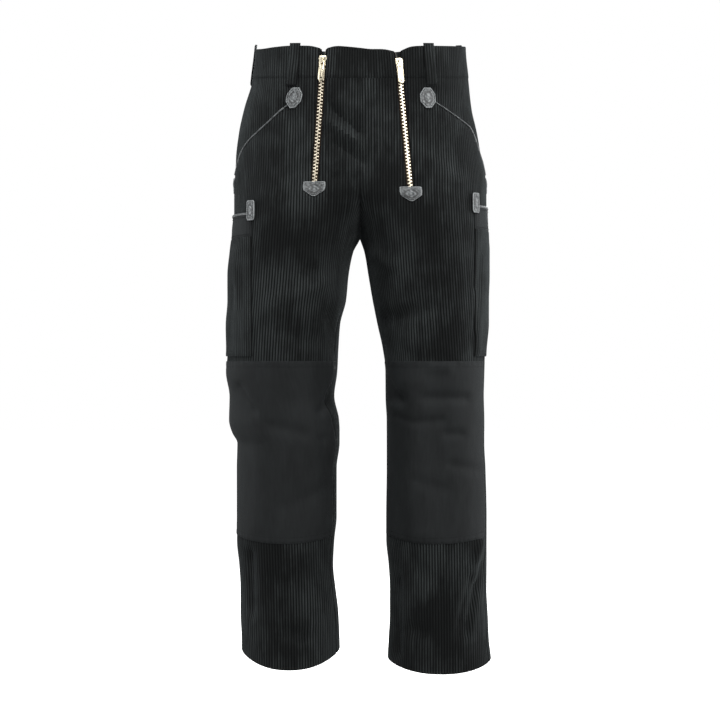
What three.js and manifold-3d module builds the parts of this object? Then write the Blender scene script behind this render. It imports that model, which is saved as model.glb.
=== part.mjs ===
import * as THREE from 'three';
import Module from 'manifold-3d';
import { mergeVertices } from 'three/addons/utils/BufferGeometryUtils.js';

const wasm = await Module();
wasm.setup();

// Corduroy work trousers, worn open and hollow. Millimetres, +Z up, origin at the middle of the waist.
// The front faces -Y and the wearer's right leg lies at -X. v is a height before the waist is tilted.

const clothWall = 2;
const seamGap = 0.3;
const restGap = 0.35; // between a piece and the cloth that it lies on
const waistbandHeight = 54;
const waistbandProud = 0.8;
const crotchLevel = -323.5;
const mouthEnd = -238;
const slitHalf = 5.5;
const hemDropBack = 6;
const hemReach = 90; // the height over which the hem's dip fades out
const loopWidth = 18.5;
const loopLength = 70;
const kneeTop = -531;
const kneeBottom = -821;
const kneeDip = 10;
const kneeWall = 1.5;
const leatherWall = 1.4;
const edgingWidth = 3.4;
const pocketDepth = 3.4; // how far the hip piece lies behind the pocket mouth
const pocketTuck = 8; // how far it reaches under the front
const pocketRise = 45; // where it has come up to the level of the front
const thighPocketWall = 1.8;
const thighPocketFullness = 1.8;
const thighBandHeight = 40;
const thighPocketBottom = -523;
const tapeHalf = 10;
const chainHalf = 3.4;
const chainTop = 0.8;
const tapeFace = -2.7;
const tapeBack = -3.6;

function table(columns, rows) {
  const names = columns.split(' ');
  return rows.map((row) => Object.fromEntries(names.map((name, k) => [name, row[k]])));
}

// Half-widths of each leg from the centre plane (negative past it), and depths to the front and back.
const sections = table('v outR inR outL inL front back', [
  [0, 174, -174, 177, -177, 116, 116],
  [-55, 180, -180, 182, -182, 121, 122],
  [-103, 194, -194, 187, -187, 124, 130],
  [-144, 203, -203, 196, -196, 127, 137],
  [-184, 208, -208, 204, -204, 129, 142],
  [-200, 209, -196, 208, -196, 130, 143],
  [-225, 211, -142, 211, -142, 130, 144],
  [-250, 211, -86, 212, -86, 130, 143],
  [-275, 211, -40, 212, -40, 129, 138],
  [-295, 211, -17, 212, -17, 128, 131],
  [-310, 212, -6, 212, -6, 126, 125],
  [-323.5, 212, 0.15, 212, 0.15, 125, 120],
  [-346, 214, 12, 213, 8, 122, 113],
  [-387, 218, 20, 213, 15, 118, 106],
  [-428, 218, 24, 212, 22, 113, 102],
  [-468, 221, 34, 212, 30, 108, 99],
  [-509, 222, 37, 210, 39, 102, 96],
  [-549, 224, 39, 209, 44, 97, 94],
  [-590, 218, 44, 208, 44, 92, 93],
  [-630, 219, 36, 209, 46, 88, 92],
  [-650, 214, 35, 209, 46, 86, 92],
  [-668, 205, 35, 209, 46, 84, 92],
  [-711, 206, 40, 211, 46, 80, 93],
  [-793, 206, 40, 213, 45, 75, 92],
  [-833, 207, 44, 213, 45, 73, 91],
  [-874, 203, 46, 213, 49, 71, 90],
  [-914, 201, 42, 213, 51, 70, 89],
  [-955, 201, 37, 215, 51, 70, 89],
  [-1000, 199, 35, 217, 49, 71, 90],
  [-1040, 199, 34, 221, 47, 72, 91],
]);

// How squarish each section is, and how far its plane is tilted down to the front.
const shaping = table('v power slope', [
  [10, 2.3, 0.19],
  [-55, 2.35, 0.185],
  [-100, 2.4, 0.165],
  [-200, 2.4, 0.095],
  [-300, 2.4, 0.02],
  [-340, 2.35, 0],
  [-600, 2.25, 0],
  [-1040, 2.2, 0],
]);

// Seams as angles round the leg: 0 is the outer side, 90 the front, 180 the inner side.
// rim is the angle taken by the last cell beside the crotch and inside seams.
const seams = table('v outR outL inR inL rim', [
  [0, 0, 0, 180, 180, 4],
  [-240, 0, 4, 180, 180, 5],
  [-275, 0, 6, 180, 180, 6],
  [-295, 0, 8, 180, 180, 9],
  [-310, 0, 9, 180, 180, 14],
  [-323.5, -1, 10, 180, 180, 28],
  [-345, -1, 12, 178, 180, 20],
  [-420, -3, 18, 168, 178, 14],
  [-500, -4, 22, 160, 175, 14],
  [-550, -5, 24, 160, 174, 14],
  [-590, -5, 24, 145, 173, 14],
  [-620, -5, 24, 147, 173, 14],
  [-680, -5, 24, 157, 173, 14],
  [-1040, -5, 24, 158, 173, 14],
]);

// How far the waist's front edge drops, across the front.
const waistEdges = table('x drop', [
  [110, 0],
  [85, -1],
  [62, -4],
  [45, -5.5],
  [20, -6],
  [0, -4],
  [-25, -1.5],
  [-45, 0],
  [-115, 0],
  [-140, -2],
  [-165, -4.5],
  [-185, -4],
]);

// The slanted pocket mouth, as a share of the half-width of the hips.
const mouths = table('v right left', [
  [-55, 0.61, 0.64],
  [-86, 0.572, 0.63],
  [-105, 0.655, 0.745],
  [-125, 0.738, 0.872],
  [-139, 0.8, 0.94],
  [-162, 0.9, 0.968],
  [-180, 0.948, 0.98],
  [-200, 0.975, 0.988],
  [-220, 0.992, 0.996],
  [-238, 1, 1],
]);

// The largest folds, as soft lines from (x1, z1) to (x2, z2); a negative height is a trough.
const folds = table('face x1 z1 x2 z2 width height', [
  [1, -40, -131, 6, -168, 11, -4.5],
  [1, -42, -152, -6, -178, 9, 3.5],
  [1, -34, -187, 10, -216, 11, -4],
  [1, -62, -404, -140, -440, 15, 5],
  [1, -88, -356, -74, -372, 12, 3],
  [1, -50, -455, -38, -508, 12, -4],
  [1, 18, -350, 48, -374, 11, 4],
  [1, 42, -462, 118, -445, 13, -6],
  [1, 109, -590, 172, -592, 9, -4],
  [1, 46, -592, 72, -592, 9, -4],
  [1, 102, -629, 132, -628, 8, -3],
  [1, 142, -650, 164, -650, 8, -3],
  [1, -181, -850, -181, -945, 9, -5],
  [1, -125, -982, -96, -982, 14, -4],
  [1, 200, -832, 189, -882, 8, 4],
  [1, 192, -905, 164, -980, 9, -4],
  [1, 64, -896, 62, -1020, 9, -4],
  [1, 86, -977, 110, -977, 12, -4],
  [-1, -84, -290, -150, -318, 18, -3],
  [-1, -92, -330, -160, -354, 18, 3],
  [-1, 82, -296, 146, -326, 18, -3],
  [-1, 94, -338, 158, -364, 18, 3],
  [-1, -60, -548, -170, -572, 12, -5],
  [-1, -70, -604, -190, -590, 13, -5],
  [-1, 66, -560, 176, -548, 12, -5],
  [-1, 74, -612, 180, -622, 13, -5],
  [-1, -90, -900, -130, -985, 14, -4],
  [-1, 100, -880, 150, -975, 14, -4],
]);

const corduroy = { color: 0x26292a, roughness: 0.92, metalness: 0 };
const smoothCloth = { color: 0x2f3335, roughness: 0.7, metalness: 0 };
const leather = { color: 0x56595d, roughness: 0.55, metalness: 0 };
const brass = { color: 0xc9c0a8, roughness: 0.32, metalness: 0.9 };
const tape = { color: 0x3b2f26, roughness: 0.85, metalness: 0 };

const model = new THREE.Group();

function addMesh(name, geometry, finish) {
  const mesh = new THREE.Mesh(geometry, new THREE.MeshStandardMaterial(finish));
  mesh.name = name;
  model.add(mesh);
  return mesh;
}

// A smooth curve through one column of a table that never overshoots its rows.
function curveOf(rows, key, along = 'v') {
  const knots = rows.map((row) => ({ x: -row[along], y: row[key] }));
  const last = knots.length - 1;
  const rise = (k) => (knots[k + 1].y - knots[k].y) / (knots[k + 1].x - knots[k].x);
  const slopes = knots.map((knot, k) => {
    if (k === 0 || k === last) return 0;
    const product = rise(k - 1) * rise(k);
    return product <= 0 ? 0 : (2 * product) / (rise(k - 1) + rise(k));
  });
  return (v) => {
    const x = THREE.MathUtils.clamp(-v, knots[0].x, knots[last].x);
    const k = Math.max(0, Math.min(last, knots.findIndex((knot) => knot.x >= x)) - 1);
    const span = knots[k + 1].x - knots[k].x;
    const s = (x - knots[k].x) / span;
    const ease = s * s * (3 - 2 * s);
    const bend = s * (1 - s) * span * ((1 - s) * slopes[k] - s * slopes[k + 1]);
    return knots[k].y * (1 - ease) + knots[k + 1].y * ease + bend;
  };
}

function ramp(value, low, high) {
  return THREE.MathUtils.smoothstep(value, low, high);
}

const frontDepth = curveOf(sections, 'front');
const backDepth = curveOf(sections, 'back');
const power = curveOf(shaping, 'power');
const slope = curveOf(shaping, 'slope');
const rim = curveOf(seams, 'rim');
const waistDrop = curveOf(waistEdges, 'drop', 'x');

function makeLeg(name, side, letter, values) {
  return {
    name,
    side,
    out: curveOf(sections, `out${letter}`),
    inn: curveOf(sections, `in${letter}`),
    outSeam: curveOf(seams, `out${letter}`),
    inSeam: curveOf(seams, `in${letter}`),
    mouth: curveOf(mouths, name),
    ...values,
  };
}

const right = makeLeg('right', -1, 'R', {
  hem: -1015,
  hemDrop: 24,
  slitEnd: -238,
  zipTopX: 58.5,
  zipLean: 0.062,
  waistDip: 5,
  topPatchX: 106,
  sliderLevel: -26,
  frontLoopX: 106,
  sideLoopAngle: -4,
  thighTop: -288,
  thighFrontX: 175,
});
const left = makeLeg('left', 1, 'L', {
  hem: -1031,
  hemDrop: 14.5,
  slitEnd: -247,
  zipTopX: 60.5,
  zipLean: 0.084,
  waistDip: 5.5,
  topPatchX: 109,
  sliderLevel: -30,
  frontLoopX: 112,
  sideLoopAngle: -22,
  thighTop: -274,
  thighFrontX: 186,
});
const legs = [right, left];

// The cloth's surface before any fold: a squarish oval round each leg.
function bare(leg, angle, v) {
  const n = power(v);
  const out = leg.out(v);
  const inn = leg.inn(v);
  const across = Math.cos(angle);
  const deep = Math.sin(angle);
  const reach = (Math.abs(across) ** n + Math.abs(deep) ** n) ** (-1 / n);
  const depth = deep > 0 ? frontDepth(v) : backDepth(v);
  const share = deep * reach;
  const x = leg.side * ((out + inn) / 2 + ((out - inn) / 2) * across * reach);
  const y = -depth * share;
  const dip = (deep > 0 ? leg.hemDrop : hemDropBack) * ramp(leg.hem + hemReach - v, 0, hemReach);
  return new THREE.Vector3(x, y, v + slope(v) * y - dip * share * share);
}

function outwardAt(leg, angle, v) {
  const step = 0.01;
  const round = bare(leg, angle + step, v).sub(bare(leg, angle - step, v));
  const up = bare(leg, angle, v + 1).sub(bare(leg, angle, v - 1));
  const normal = new THREE.Vector3().crossVectors(round, up).normalize();
  const outwards = leg.side * Math.cos(angle) * normal.x - Math.sin(angle) * normal.y;
  return outwards < 0 ? normal.negate() : normal;
}

function foldHeight(point, normal) {
  let height = 0;
  for (const fold of folds) {
    const run = new THREE.Vector2(fold.x2 - fold.x1, fold.z2 - fold.z1);
    const arm = new THREE.Vector2(point.x - fold.x1, point.z - fold.z1);
    const share = THREE.MathUtils.clamp(arm.dot(run) / run.lengthSq(), 0, 1);
    const distance = arm.sub(run.multiplyScalar(share)).length();
    const facing = ramp(-normal.y * fold.face, 0.05, 0.45);
    height += facing * fold.height * Math.exp(-((distance / fold.width) ** 2));
  }
  return height;
}

function surface(place, lift = 0) {
  const { leg, angle, v } = place;
  const point = bare(leg, angle, v);
  const normal = outwardAt(leg, angle, v);
  return point.addScaledVector(normal, foldHeight(point, normal) + lift);
}

// The angle at which a section reaches x on the front (or, negated, on the back).
function angleAt(leg, v, x) {
  const n = power(v);
  const middle = (leg.out(v) + leg.inn(v)) / 2;
  const half = (leg.out(v) - leg.inn(v)) / 2;
  const across = THREE.MathUtils.clamp((x - middle) / half, -1, 1);
  return Math.atan2((1 - Math.abs(across) ** n) ** (1 / n), across);
}

// Moves an angle by a length along the cloth.
function shift(leg, v, angle, length) {
  const pieces = 4;
  const step = 0.01;
  let moved = angle;
  for (let k = 0; k < pieces; k += 1) {
    const speed = bare(leg, moved + step, v).distanceTo(bare(leg, moved - step, v)) / (2 * step);
    moved += length / pieces / speed;
  }
  return moved;
}

// Angles between two ends at even lengths along the cloth.
function spread(leg, v, start, end, count) {
  const samples = 48;
  const angles = [];
  const lengths = [0];
  for (let k = 0; k <= samples; k += 1) {
    angles.push(start + ((end - start) * k) / samples);
    if (k > 0) {
      const piece = bare(leg, angles[k], v).distanceTo(bare(leg, angles[k - 1], v));
      lengths.push(lengths[k - 1] + piece);
    }
  }
  return Array.from({ length: count + 1 }, (unused, j) => {
    const target = (lengths[samples] * j) / count;
    const k = Math.max(1, lengths.findIndex((length) => length >= target - 1e-9));
    const share = (target - lengths[k - 1]) / (lengths[k] - lengths[k - 1] || 1);
    return angles[k - 1] + (angles[k] - angles[k - 1]) * Math.max(0, Math.min(1, share));
  });
}

function outSeamAngle(leg, v) {
  return THREE.MathUtils.degToRad(leg.outSeam(v));
}

function inSeamAngle(leg, v) {
  if (v >= crotchLevel) return angleAt(leg, v, seamGap / 2);
  return THREE.MathUtils.degToRad(leg.inSeam(v));
}

function mouthAngle(leg, v) {
  return angleAt(leg, v, leg.mouth(v) * leg.out(v));
}

function slitX(leg, v) {
  return leg.zipTopX - v * leg.zipLean;
}

// A closed wall between an outer and an inner grid of points; cells can be left out.
function wallOf(outer, inner, keep = () => true) {
  const rows = outer.length - 1;
  const columns = outer[0].length - 1;
  const points = [...outer.flat(), ...inner.flat()];
  const back = points.length / 2;
  const faces = [];
  const quad = (a, b, c, d) => faces.push(a, b, c, a, c, d);
  const kept = (j, i) => j >= 0 && i >= 0 && j < rows && i < columns && keep(j, i);
  for (let j = 0; j < rows; j += 1) {
    for (let i = 0; i < columns; i += 1) {
      if (!kept(j, i)) continue;
      const a = j * (columns + 1) + i;
      const b = a + columns + 1;
      const c = b + 1;
      const d = a + 1;
      quad(a, b, c, d);
      quad(a + back, d + back, c + back, b + back);
      if (!kept(j - 1, i)) quad(a, d, d + back, a + back);
      if (!kept(j, i - 1)) quad(b, a, a + back, b + back);
      if (!kept(j + 1, i)) quad(c, b, b + back, c + back);
      if (!kept(j, i + 1)) quad(d, c, c + back, d + back);
    }
  }
  return closed(points, faces);
}

function closed(points, faces) {
  let volume = 0;
  for (let k = 0; k < faces.length; k += 3) {
    const [a, b, c] = [points[faces[k]], points[faces[k + 1]], points[faces[k + 2]]];
    volume += a.dot(new THREE.Vector3().crossVectors(b, c));
  }
  const order = volume < 0 ? [...faces].reverse() : faces;
  const geometry = new THREE.BufferGeometry().setFromPoints(points);
  geometry.setIndex(order);
  geometry.computeVertexNormals();
  return geometry;
}

// A wall over a grid of places, from one lift to another; a lift is a number or a function of a place.
function clothOver(places, top, bottom, keep) {
  const layer = (lift) => places.map((row) => row.map((place) => surface(place, amount(lift, place))));
  return wallOf(layer(top), layer(bottom), keep);
}

function amount(lift, place) {
  return typeof lift === 'function' ? lift(place) : lift;
}

function placesOf(leg, levels, anglesAt) {
  return levels.map((v) => anglesAt(v).map((angle) => ({ leg, angle, v })));
}

function levelsBetween(start, end, count) {
  return Array.from({ length: count + 1 }, (unused, k) => start + ((end - start) * k) / count);
}

const legTop = -waistbandHeight - seamGap;
const mouthLevels = [-80, -98, -112, -125, -139, -160, -180, -203, -222];
const hipLevels = [legTop, ...mouthLevels, mouthEnd];
const seatLevels = [-262, -279, -295, -307, -316];
const thighLevels = [crotchLevel, -332, -345, -363, -388, -416, -446, -475, -504, kneeTop];
const kneeLevels = levelsBetween(kneeTop, kneeBottom, 9).slice(1);

function slitLevels(leg) {
  return leg.slitEnd < mouthEnd ? [...hipLevels, leg.slitEnd] : hipLevels;
}

function legLevels(leg) {
  const shin = levelsBetween(kneeBottom, leg.hem, 7).slice(1);
  return [...slitLevels(leg), ...seatLevels, ...thighLevels, ...kneeLevels, ...shin];
}

const sideCells = 8;
const centreCells = 5;
const backCells = 11;

function frontEdge(leg, v) {
  const seam = shift(leg, v, outSeamAngle(leg, v), seamGap / 2);
  return v > mouthEnd ? Math.max(seam, mouthAngle(leg, v)) : seam;
}

function frontAngles(leg, v) {
  const outerLip = angleAt(leg, v, slitX(leg, v) + slitHalf);
  const innerLip = angleAt(leg, v, slitX(leg, v) - slitHalf);
  const end = v >= crotchLevel ? inSeamAngle(leg, v) : shift(leg, v, inSeamAngle(leg, v), -seamGap / 2);
  const outside = spread(leg, v, frontEdge(leg, v), outerLip, sideCells);
  const rimStart = end - THREE.MathUtils.degToRad(rim(v));
  return [...outside, ...spread(leg, v, innerLip, rimStart, centreCells - 1), end];
}

function backAngles(leg, v) {
  const start = shift(leg, v, outSeamAngle(leg, v), -seamGap / 2);
  const belowCrotch = shift(leg, v, inSeamAngle(leg, v) - 2 * Math.PI, seamGap / 2);
  const end = v >= crotchLevel ? -inSeamAngle(leg, v) : belowCrotch;
  return [...spread(leg, v, start, end + THREE.MathUtils.degToRad(rim(v)), backCells - 1), end];
}

function addLegs() {
  for (const leg of legs) {
    const levels = legLevels(leg);
    const slit = (j, i) => i === sideCells && levels[j] > leg.slitEnd;
    const front = placesOf(leg, levels, (v) => frontAngles(leg, v));
    const back = placesOf(leg, levels, (v) => backAngles(leg, v));
    addMesh(`front_leg_${leg.name}`, clothOver(front, 0, -clothWall, (j, i) => !slit(j, i)), corduroy);
    addMesh(`back_leg_${leg.name}`, clothOver(back, 0, -clothWall), corduroy);
  }
}

// The hip piece shows above the pocket mouth and runs on behind the front's edge.
function addHipPieces() {
  for (const leg of legs) {
    const levels = [...hipLevels.slice(0, -1), mouthEnd - 8];
    const places = placesOf(leg, levels, (v) => {
      const seam = shift(leg, v, outSeamAngle(leg, v), seamGap / 2);
      return spread(leg, v, seam, shift(leg, v, mouthAngle(leg, v), pocketTuck), 7);
    });
    const sunk = (place) => {
      const span = Math.abs(mouthAngle(leg, place.v) - place.angle);
      const away = place.angle > mouthAngle(leg, place.v) ? 0 : span * leg.out(place.v) * 0.75;
      return -pocketDepth * (1 - ramp(away, 6, pocketRise));
    };
    const under = (place) => sunk(place) - clothWall;
    addMesh(`hip_piece_${leg.name}`, clothOver(places, sunk, under), corduroy);
  }
}

// The waist's edge dips a little at each zip.
function waistEdge(leg, v, angle) {
  const x = Math.abs(bare(leg, angle, v).x);
  const away = (x - slitX(leg, 0)) / 15;
  const dip = waistDrop(leg.side * x) - leg.waistDip * Math.exp(-away * away);
  return angle > 0 ? dip : dip * Math.exp(-((angle / 0.5) ** 2));
}

function bandPlaces(columns) {
  const rows = levelsBetween(0, -waistbandHeight, 2);
  return rows.map((v) => columns.map(({ leg, angleFor }) => {
    const angle = angleFor(v);
    return { leg, angle, v: v + waistEdge(leg, v, angle) * (1 + v / waistbandHeight) };
  }));
}

function addWaistband() {
  for (const leg of legs) {
    const cells = 18;
    const columns = levelsBetween(0, 1, cells).map((share) => ({
      leg,
      angleFor: (v) => {
        const lip = angleAt(leg, v, slitX(leg, v) + slitHalf);
        return spread(leg, v, lip, -angleAt(leg, v, seamGap / 2), cells)[Math.round(share * cells)];
      },
    }));
    addMesh(`waistband_${leg.name}`, clothOver(bandPlaces(columns), waistbandProud, -clothWall), corduroy);
  }
  const half = (leg) => levelsBetween(0, 1, 4).map((share) => ({
    leg,
    angleFor: (v) => {
      const lip = angleAt(leg, v, slitX(leg, v) - slitHalf);
      return spread(leg, v, lip, angleAt(leg, v, 0), 4)[share * 4];
    },
  }));
  const columns = [...half(right), ...half(left).reverse().slice(1)];
  addMesh('waistband_front', clothOver(bandPlaces(columns), waistbandProud, -clothWall), corduroy);
}

// A strip of cloth or leather about one angle: its half-width is given for each share of its height.
function stripPlaces(leg, middle, start, end, shape, cells) {
  return shape.map((row) => {
    const v = start + (end - start) * row.down;
    const angle = typeof middle === 'function' ? middle(v) : middle;
    const shares = levelsBetween(-1, 1, cells);
    return shares.map((share) => ({ leg, v, angle: shift(leg, v, angle, share * row.half) }));
  });
}

function addBeltLoops() {
  const shape = levelsBetween(0, 1, 7).map((down) => ({ down, half: loopWidth / 2 }));
  const start = 4;
  const end = start - loopLength;
  const bow = (place) => {
    const share = (place.v - end) / loopLength;
    return waistbandProud + restGap + 1.8 * Math.sin(Math.PI * THREE.MathUtils.clamp(share, 0, 1));
  };
  const top = (place) => bow(place) + clothWall;
  for (const leg of legs) {
    const frontAngle = angleAt(leg, -30, leg.frontLoopX);
    const sideAngle = THREE.MathUtils.degToRad(leg.sideLoopAngle);
    const front = stripPlaces(leg, frontAngle, start, end, shape, 2);
    const side = stripPlaces(leg, sideAngle, start, end, shape, 2);
    addMesh(`belt_loop_front_${leg.name}`, clothOver(front, top, bow), corduroy);
    addMesh(`belt_loop_side_${leg.name}`, clothOver(side, top, bow), corduroy);
  }
  const centred = shape.map(({ down, half }) => {
    const v = start + (end - start) * down;
    const edge = (leg, x) => ({ leg, v, angle: -angleAt(leg, v, x) });
    return [edge(right, half), edge(right, 0), edge(left, half)];
  });
  addMesh('belt_loop_back', clothOver(centred, top, bow), corduroy);
}

// Outlines of the leather pieces, as half-widths down their height.
const homePlate = (half) => [
  { down: 0, half },
  { down: 0.3, half: half * 1.02 },
  { down: 0.6, half: half * 0.96 },
  { down: 1, half: half * 0.12 },
];
const hexagon = (half) => [
  { down: 0, half: half * 0.42 },
  { down: 0.3, half },
  { down: 0.68, half },
  { down: 1, half: half * 0.34 },
];
const roundedBar = (half) => [
  { down: 0, half: half * 0.75 },
  { down: 0.14, half },
  { down: 0.5, half },
  { down: 0.86, half },
  { down: 1, half: half * 0.7 },
];

function addLeather() {
  const patch = (name, leg, middle, v, width, height, outline, lift) => {
    const places = stripPlaces(leg, middle, v + height / 2, v - height / 2, outline(width / 2), 4);
    addMesh(`${name}_${leg.name}`, clothOver(places, lift + leatherWall, lift), leather);
  };
  const onChain = chainTop + restGap;
  const onEdging = restGap + leatherWall + restGap;
  const seamLift = restGap + 0.25;
  for (const leg of legs) {
    const onZip = (v) => angleAt(leg, v, slitX(leg, v));
    patch('zip_end_patch', leg, onZip, leg.slitEnd - 9, 36, 26, homePlate, onChain);
    patch('pocket_top_patch', leg, angleAt(leg, -86, leg.topPatchX), -87, 27, 35, hexagon, onEdging);
    const mouthLow = (v) => mouthAngle(leg, Math.max(v, mouthEnd)) + 0.02;
    patch('pocket_low_patch', leg, mouthLow, -236, 22, 26, roundedBar, seamLift);
    const corner = (v) => shift(leg, v, angleAt(leg, v, leg.thighFrontX), 1);
    const overPocket = restGap + thighPocketWall + 0.7 + restGap + leatherWall;
    patch('thigh_patch', leg, corner, leg.thighTop + 4, 17, 35, roundedBar, overPocket);
  }
}

function addPocketEdging() {
  const levels = [-90, -97, -105, -115, -125, -139, -150, -162, -180, -200, -218];
  for (const leg of legs) {
    const shape = levels.map((v) => ({ down: (v - levels[0]) / (levels.at(-1) - levels[0]), half: 1 }));
    const places = stripPlaces(leg, (v) => mouthAngle(leg, v), levels[0], levels.at(-1), shape, 1);
    const edging = places.map((row) => row.map((place, k) => ({
      ...place,
      angle: shift(leg, place.v, mouthAngle(leg, place.v), k === 0 ? -0.8 : edgingWidth - 0.8),
    })));
    addMesh(`pocket_edging_${leg.name}`, clothOver(edging, restGap + leatherWall, restGap), leather);
  }
}

// The thigh pocket wraps from a straight front edge round the side to the back of the leg.
const pocketBackAngle = THREE.MathUtils.degToRad(-62);

function pocketAngles(leg, v, cells) {
  return spread(leg, v, angleAt(leg, v, leg.thighFrontX), pocketBackAngle, cells);
}

function addThighPockets() {
  const cells = 14;
  const clear = 0.9;
  for (const leg of legs) {
    const bandBottom = leg.thighTop - thighBandHeight;
    const full = (place) => {
      const down = ramp(leg.thighTop - place.v, 0, 60) * (1 - ramp(place.v - thighPocketBottom, 60, 0));
      const front = ramp(angleAt(leg, place.v, leg.thighFrontX) - place.angle, 0, 0.5);
      const rear = ramp(place.angle - pocketBackAngle, 0, 0.5);
      return clear + thighPocketFullness * front * rear * down;
    };
    const top = (place) => full(place) + thighPocketWall;
    const upper = levelsBetween(leg.thighTop, bandBottom, 2);
    const lower = levelsBetween(bandBottom - seamGap, thighPocketBottom, 6);
    const band = placesOf(leg, upper, (v) => pocketAngles(leg, v, cells));
    const bag = placesOf(leg, lower, (v) => pocketAngles(leg, v, cells));
    addMesh(`thigh_band_${leg.name}`, clothOver(band, top, full), smoothCloth);
    addMesh(`thigh_pocket_${leg.name}`, clothOver(bag, top, full), corduroy);
    const edgeLevels = [leg.thighTop + 1, leg.thighTop - edgingWidth];
    const edge = placesOf(leg, edgeLevels, (v) => pocketAngles(leg, v, cells));
    const edgeLow = (place) => top(place) + restGap;
    const edgeTop = (place) => top(place) + restGap + leatherWall * 0.7;
    addMesh(`thigh_edging_${leg.name}`, clothOver(edge, edgeTop, edgeLow), leather);
  }
}

function addKneePatches() {
  const levels = [kneeTop, ...kneeLevels];
  for (const leg of legs) {
    const places = placesOf(leg, levels, (v) => frontAngles(leg, v));
    const dip = ([...row], j) => row.map((place) => ({
      ...place,
      v: place.v - (j === levels.length - 1 ? kneeDip * Math.max(0, Math.sin(place.angle)) ** 2 : 0),
    }));
    const patch = clothOver(places.map(dip), restGap + kneeWall, restGap);
    addMesh(`knee_patch_${leg.name}`, patch, smoothCloth);
  }
}

// Tape and chain as one bar: the chain stands up through the slit, between the tape's two edges.
function zipBar(leg) {
  const profile = [
    [-tapeHalf, tapeBack],
    [tapeHalf, tapeBack],
    [tapeHalf, tapeFace],
    [chainHalf, tapeFace],
    [chainHalf, chainTop],
    [-chainHalf, chainTop],
    [-chainHalf, tapeFace],
    [-tapeHalf, tapeFace],
  ];
  const levels = [leg.sliderLevel + 2, -40, ...slitLevels(leg).slice(0, -1), leg.slitEnd + 1];
  const points = [];
  for (const v of levels) {
    const middle = angleAt(leg, v, slitX(leg, v));
    for (const [across, lift] of profile) {
      points.push(surface({ leg, v, angle: shift(leg, v, middle, across) }, lift));
    }
  }
  const sides = profile.length;
  const faces = [];
  for (let j = 0; j + 1 < levels.length; j += 1) {
    for (let i = 0; i < sides; i += 1) {
      const a = j * sides + i;
      const b = j * sides + ((i + 1) % sides);
      faces.push(a, b, b + sides, a, b + sides, a + sides);
    }
  }
  const contour = profile.map(([x, y]) => new THREE.Vector2(x, y));
  const lastRing = (levels.length - 1) * sides;
  for (const [a, b, c] of THREE.ShapeUtils.triangulateShape(contour, [])) {
    faces.push(a, c, b);
    faces.push(a + lastRing, b + lastRing, c + lastRing);
  }
  return closed(points, faces);
}

// Slider and pull tab in their own frame: X across the chain, Y up it, Z outwards.
const sliderHeight = 17.5;
const sliderWide = 6.6;
const sliderNarrow = 5;
const plateBottom = waistbandProud + 0.7;
const plateTop = plateBottom + 1.6;
const bridgeHalf = 1.2;
const bridgeTunnel = plateTop + 2.65;
const barRadius = 0.95;
const barHeight = plateTop + 0.35 + barRadius;
const tabLength = 33;
const tabHalf = 5.2;
const tabNeck = 3.3;
const tabWall = 1.2;
const tabSlot = 7.2;

function polygon(corners) {
  return new THREE.Shape(corners.map(([x, y]) => new THREE.Vector2(x, y)));
}

function extruded(shape, depth, curveSegments = 6) {
  return new THREE.ExtrudeGeometry(shape, { depth, bevelEnabled: false, curveSegments });
}

function solidOf(geometry) {
  const bareGeometry = geometry.clone();
  bareGeometry.deleteAttribute('normal');
  bareGeometry.deleteAttribute('uv');
  const merged = mergeVertices(bareGeometry, 1e-4);
  const vertProperties = new Float32Array(merged.attributes.position.array);
  const triVerts = new Uint32Array(merged.index.array);
  return new wasm.Manifold(new wasm.Mesh({ numProp: 3, vertProperties, triVerts }));
}

function joined(geometries) {
  const mesh = geometries.map(solidOf).reduce((whole, next) => whole.add(next)).getMesh();
  const geometry = new THREE.BufferGeometry();
  geometry.setAttribute('position', new THREE.BufferAttribute(mesh.vertProperties, 3));
  geometry.setIndex(new THREE.BufferAttribute(mesh.triVerts, 1));
  geometry.computeVertexNormals();
  return geometry;
}

function sliderGeometry() {
  const half = sliderHeight / 2;
  const outline = polygon([
    [-sliderNarrow, -half],
    [sliderNarrow, -half],
    [sliderNarrow + 0.5, 0],
    [sliderWide, half * 0.55],
    [sliderWide * 0.8, half],
    [-sliderWide * 0.8, half],
    [-sliderWide, half * 0.55],
    [-sliderNarrow - 0.5, 0],
  ]);
  const frontPlate = extruded(outline, plateTop - plateBottom).translate(0, 0, plateBottom);
  const backPlate = extruded(outline, 1.3).translate(0, 0, tapeBack - 0.4 - 1.3);
  const wedgeDepth = plateBottom - tapeBack + 1.4;
  const wedge = new THREE.BoxGeometry(3.6, 4.4, wedgeDepth);
  wedge.translate(0, half - 2.6, plateBottom + 0.5 - wedgeDepth / 2);
  const foot = plateTop - 0.3;
  const arch = polygon([
    [-6, foot],
    [-4.7, bridgeTunnel + 1.2],
    [5, bridgeTunnel + 1.2],
    [6.4, foot],
    [3.9, foot],
    [3.6, bridgeTunnel],
    [-3.4, bridgeTunnel],
    [-3.7, foot],
  ]);
  const bridge = extruded(arch, bridgeHalf * 2);
  const turn = new THREE.Matrix4().makeBasis(
    new THREE.Vector3(0, 1, 0),
    new THREE.Vector3(0, 0, 1),
    new THREE.Vector3(1, 0, 0),
  );
  bridge.applyMatrix4(turn).translate(-bridgeHalf, 0, 0);
  return joined([frontPlate, backPlate, wedge, bridge]);
}

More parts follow.
